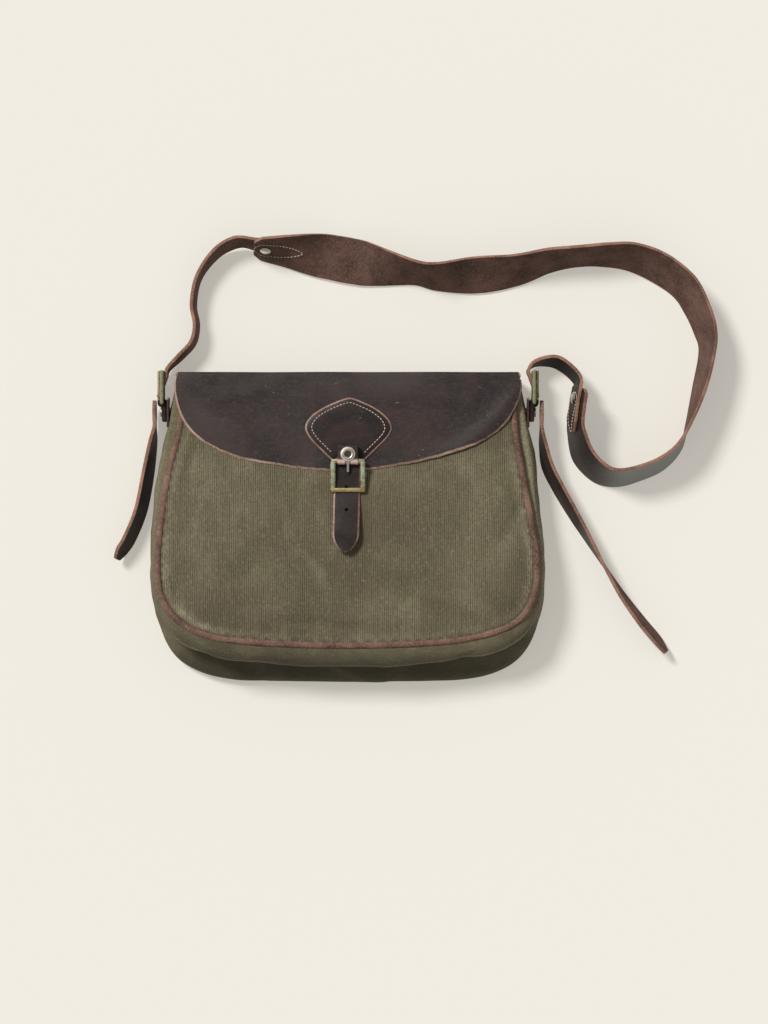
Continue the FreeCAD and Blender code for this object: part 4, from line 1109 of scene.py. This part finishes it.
shoulder = stations(SHOULDER_ROUTE, WIDE)
left_places = np.vstack([stations(LEFT_ROUTE, NARROW),
                         lapped(shoulder[LEFT_LAP], (1, 1, 1, 1, 0.35))])
right_places = np.vstack([lapped(shoulder[RIGHT_LAP], (0.35, 1, 1, 1, 1, 1)),
                          stations(RIGHT_ROUTE, NARROW)])
last_station = len(SHOULDER_ROUTE) - 1
shoulder_run = ribbon("shoulder_strap_run", shoulder, 0, RUN_END, 41)
shoulder_bend = ribbon("shoulder_strap_bend", shoulder, RUN_END, BEND_END, 41, CURL_LOOK)
shoulder_lobe = ribbon("shoulder_strap_curl", shoulder, BEND_END, last_station, 41, CURL_LOOK)
narrow_left = ribbon("narrow_leather_left", left_places, 0, len(left_places) - 1, 43)
narrow_right = ribbon("narrow_leather_right", right_places, 0, len(right_places) - 1, 44)
tail_left = ribbon("tail_leather_left", stations(LEFT_TAIL, NARROW), 0, len(LEFT_TAIL) - 1, 45)
faces_bag = stations(RIGHT_TAIL, NARROW)          # its grain side is turned to the bag
faces_bag[:, 3:9] *= -1
tail_right = ribbon("tail_leather_right", faces_bag, 0, len(RIGHT_TAIL) - 1, 46)


def tail_eye(name, x):
    """The rounded end of a tail round its rivet."""
    place = Matrix.Translation((x, PIVOT_Y, PIVOT_Z)) @ Matrix.Rotation(math.pi / 2, 4, "Y")
    edge, half = NARROW / 2, STRAP / 2
    return lathe_mesh(name, [(0.2 * MM, -half), (edge * 0.99, -half), (edge, -half * 0.85),
                             (edge, half * 0.85), (edge * 0.99, half), (0.2 * MM, half)],
                      place, GRAIN_LOOK, rim=STRAP_EDGE_LOOK)


tail_left = join("tail_leather_left", [tail_left, tail_eye("eye_left", -EYE_X)])
tail_right = join("tail_leather_right", [tail_right, tail_eye("eye_right", EYE_X)])


def strap_rivet(name, place):
    """A domed rivet through both layers of a lap."""
    outward = Vector(place[6:9])
    turn = outward.to_track_quat("Z", "X").to_matrix().to_4x4()
    half, play = STRAP / 2, 0.3 * MM
    low, high = -(half + play) / MM, (LAP + half + play) / MM
    return lathe_mesh(name, in_metres([
        (0.3, low - 1.3), (2.2, low - 1.25), (3.9, low - 0.9), (4.6, low - 0.25), (4.6, low),
        (1.95, low), (1.95, high), (4.6, high), (4.6, high + 0.25), (3.9, high + 0.9),
        (0.3, high + 1.2)]), Matrix.Translation(Vector(place[:3])) @ turn, NICKEL_LOOK)


left_rivet = strap_rivet("strap_rivet_domed_left", shoulder[2])
right_rivet = strap_rivet("strap_rivet_domed_right", shoulder[32])


def teardrop(name, places, side, point_last):
    """Stitches in a pointed loop where a narrow strap is sewn to the wide one."""
    count = 60
    line = resample(spline(places, 10), count, 3)
    share = np.linspace(0, 1, count)
    to_tip = share if point_last else 1 - share
    width = NARROW * 0.47 * np.minimum(1, (to_tip / 0.14) ** 0.5) * (1 - to_tip ** 2.2) ** 0.8
    ring, normals = [], []
    for sign, order in ((1, range(count)), (-1, reversed(range(count)))):
        for k in order:
            outward = line[k, 6:9] / np.linalg.norm(line[k, 6:9])
            across = line[k, 3:6] / np.linalg.norm(line[k, 3:6])
            ring.append(line[k, :3] + across * width[k] * sign + outward * side)
            normals.append(outward * np.sign(side))
    return stitches(name, ring, normals)


HALF_STRAP = STRAP / 2 + 0.1 * MM
left_thread = teardrop("lap_stitches_left", shoulder[0:5], -HALF_STRAP, True)
right_thread = teardrop("lap_stitches_right", shoulder[29:34], LAP + HALF_STRAP, False)


# ------------------------------------------------------------------ what moves with what

# piece, body, the CAD nodes that it stands for, the record's material slot
PIECES = [
    (front_panel, "bag", ["front_panel"], "canvas"),
    (back_panel, "bag", ["back_panel"], "canvas"),
    (gusset, "bag", ["gusset"], "canvas"),
    (front_piping, "bag", ["front_piping"], "piping"),
    (back_piping, "bag", ["back_piping"], "piping"),
    (patch, "flap_front", ["closure_patch"], "flap_leather"),
    (patch_thread, "flap_front", [], "flap_leather"),
    (closure_strap, "flap_front", ["closure_strap"], "flap_leather"),
    (snap_cap, "flap_front", ["snap_cap"], "nickel"),
    (chape, "flap_front", ["buckle_chape"], "flap_leather"),
    (closure_buckle, "closure_buckle", ["closure_buckle_frame"], "buckle_brass"),
    (closure_tongue, "closure_tongue", ["closure_buckle_tongue"], "nickel"),
    (shoulder_run, "strap", ["shoulder_strap"], "strap_leather"),
    (shoulder_lobe, "bag", ["shoulder_strap_lobe"], "strap_leather"),
    (narrow_left, "strap", ["narrow_strap_left"], "strap_leather"),
    (narrow_right, "bag", ["narrow_strap_right"], "strap_leather"),
    (left_thread, "strap", [], "strap_leather"),
    (right_thread, "bag", [], "strap_leather"),
    (left_rivet, "strap", ["strap_rivet_left"], "nickel"),
    (right_rivet, "bag", ["strap_rivet_right"], "nickel"),
    (tail_left, "tail_left", ["strap_tail_left"], "strap_leather"),
    (tail_right, "tail_right", ["strap_tail_right"], "strap_leather")]
FIXED_TO_BAG = {"side_tab", "side_rivet"}
for (side, kind), piece in side_pieces.items():
    body = "strap" if side == "left" and kind not in FIXED_TO_BAG else "bag"
    PIECES.append((piece, body, [f"{kind}_{side}"], SIDE_KINDS[kind][-1]))
for piece, body, nodes, slot in PIECES:
    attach(piece, body)
    if nodes:
        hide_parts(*nodes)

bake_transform(flap_back)
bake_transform(flap)
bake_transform(shoulder_bend)
for piece, nodes, slot in ((flap_back, ["flap_anchor", "flap_spine"], "flap_leather"),
                           (flap, ["flap"], "flap_leather"), (shoulder_bend, [], "strap_leather")):
    if nodes:
        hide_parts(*nodes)
for node in ("snap_socket", "snap_stud"):
    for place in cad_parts[node].material_slots:
        place.material = NICKEL_LOOK

# ------------------------------------------------------------------ floor, light and camera

VIEW_MIDDLE = (30.2 * MM, 13.0 * MM)
VIEW_HEIGHT, CAMERA_HEIGHT, MIDDLE_HEIGHT = 860 * MM, 4.0, 27 * MM
FLOOR_DIM, FLOOR_GLOW = 0.6, 0.4                 # the floor partly lights itself: faint shadows

bpy.ops.mesh.primitive_plane_add(size=6.0, location=(0, 0, -0.4 * MM))
floor = bpy.context.object
floor.name = "floor"
floor_colour = (*(FLOOR_DIM * part for part in srgb(234, 230, 221)[:3]), 1)
floor_paint = Paint("floor_paper", floor_colour, 0.95, specular=0.05)
floor_paint.set("Base Color", floor_colour)
floor_paint.set("Emission Color", (241, 236, 225))
floor_paint.set("Emission Strength", FLOOR_GLOW)
floor.data.materials.append(floor_paint.material)

key = bpy.data.lights.new("key", "SUN")          # a big soft light, upper left
key.angle, key.energy, key.color = math.radians(15), 3.0, (1, 0.99, 0.98)
key_light = linked("key", key)
key_light.rotation_euler = Vector((0.66, -0.66, -1.0)).to_track_quat("-Z", "Y").to_euler()
world = bpy.data.worlds.new("studio")
bpy.context.scene.world = world
world.use_nodes = True
sky = world.node_tree.nodes["Background"].inputs
sky["Color"].default_value, sky["Strength"].default_value = (1, 0.99, 0.97, 1), 0.38

lens = bpy.data.cameras.new("camera")
lens.sensor_fit = "VERTICAL"
lens.angle = 2 * math.atan(VIEW_HEIGHT / 2 / (CAMERA_HEIGHT - MIDDLE_HEIGHT))
camera = linked("camera", lens)
camera.location = (*VIEW_MIDDLE, CAMERA_HEIGHT)
bpy.context.scene.camera = camera
bpy.context.scene.view_settings.view_transform = "Standard"
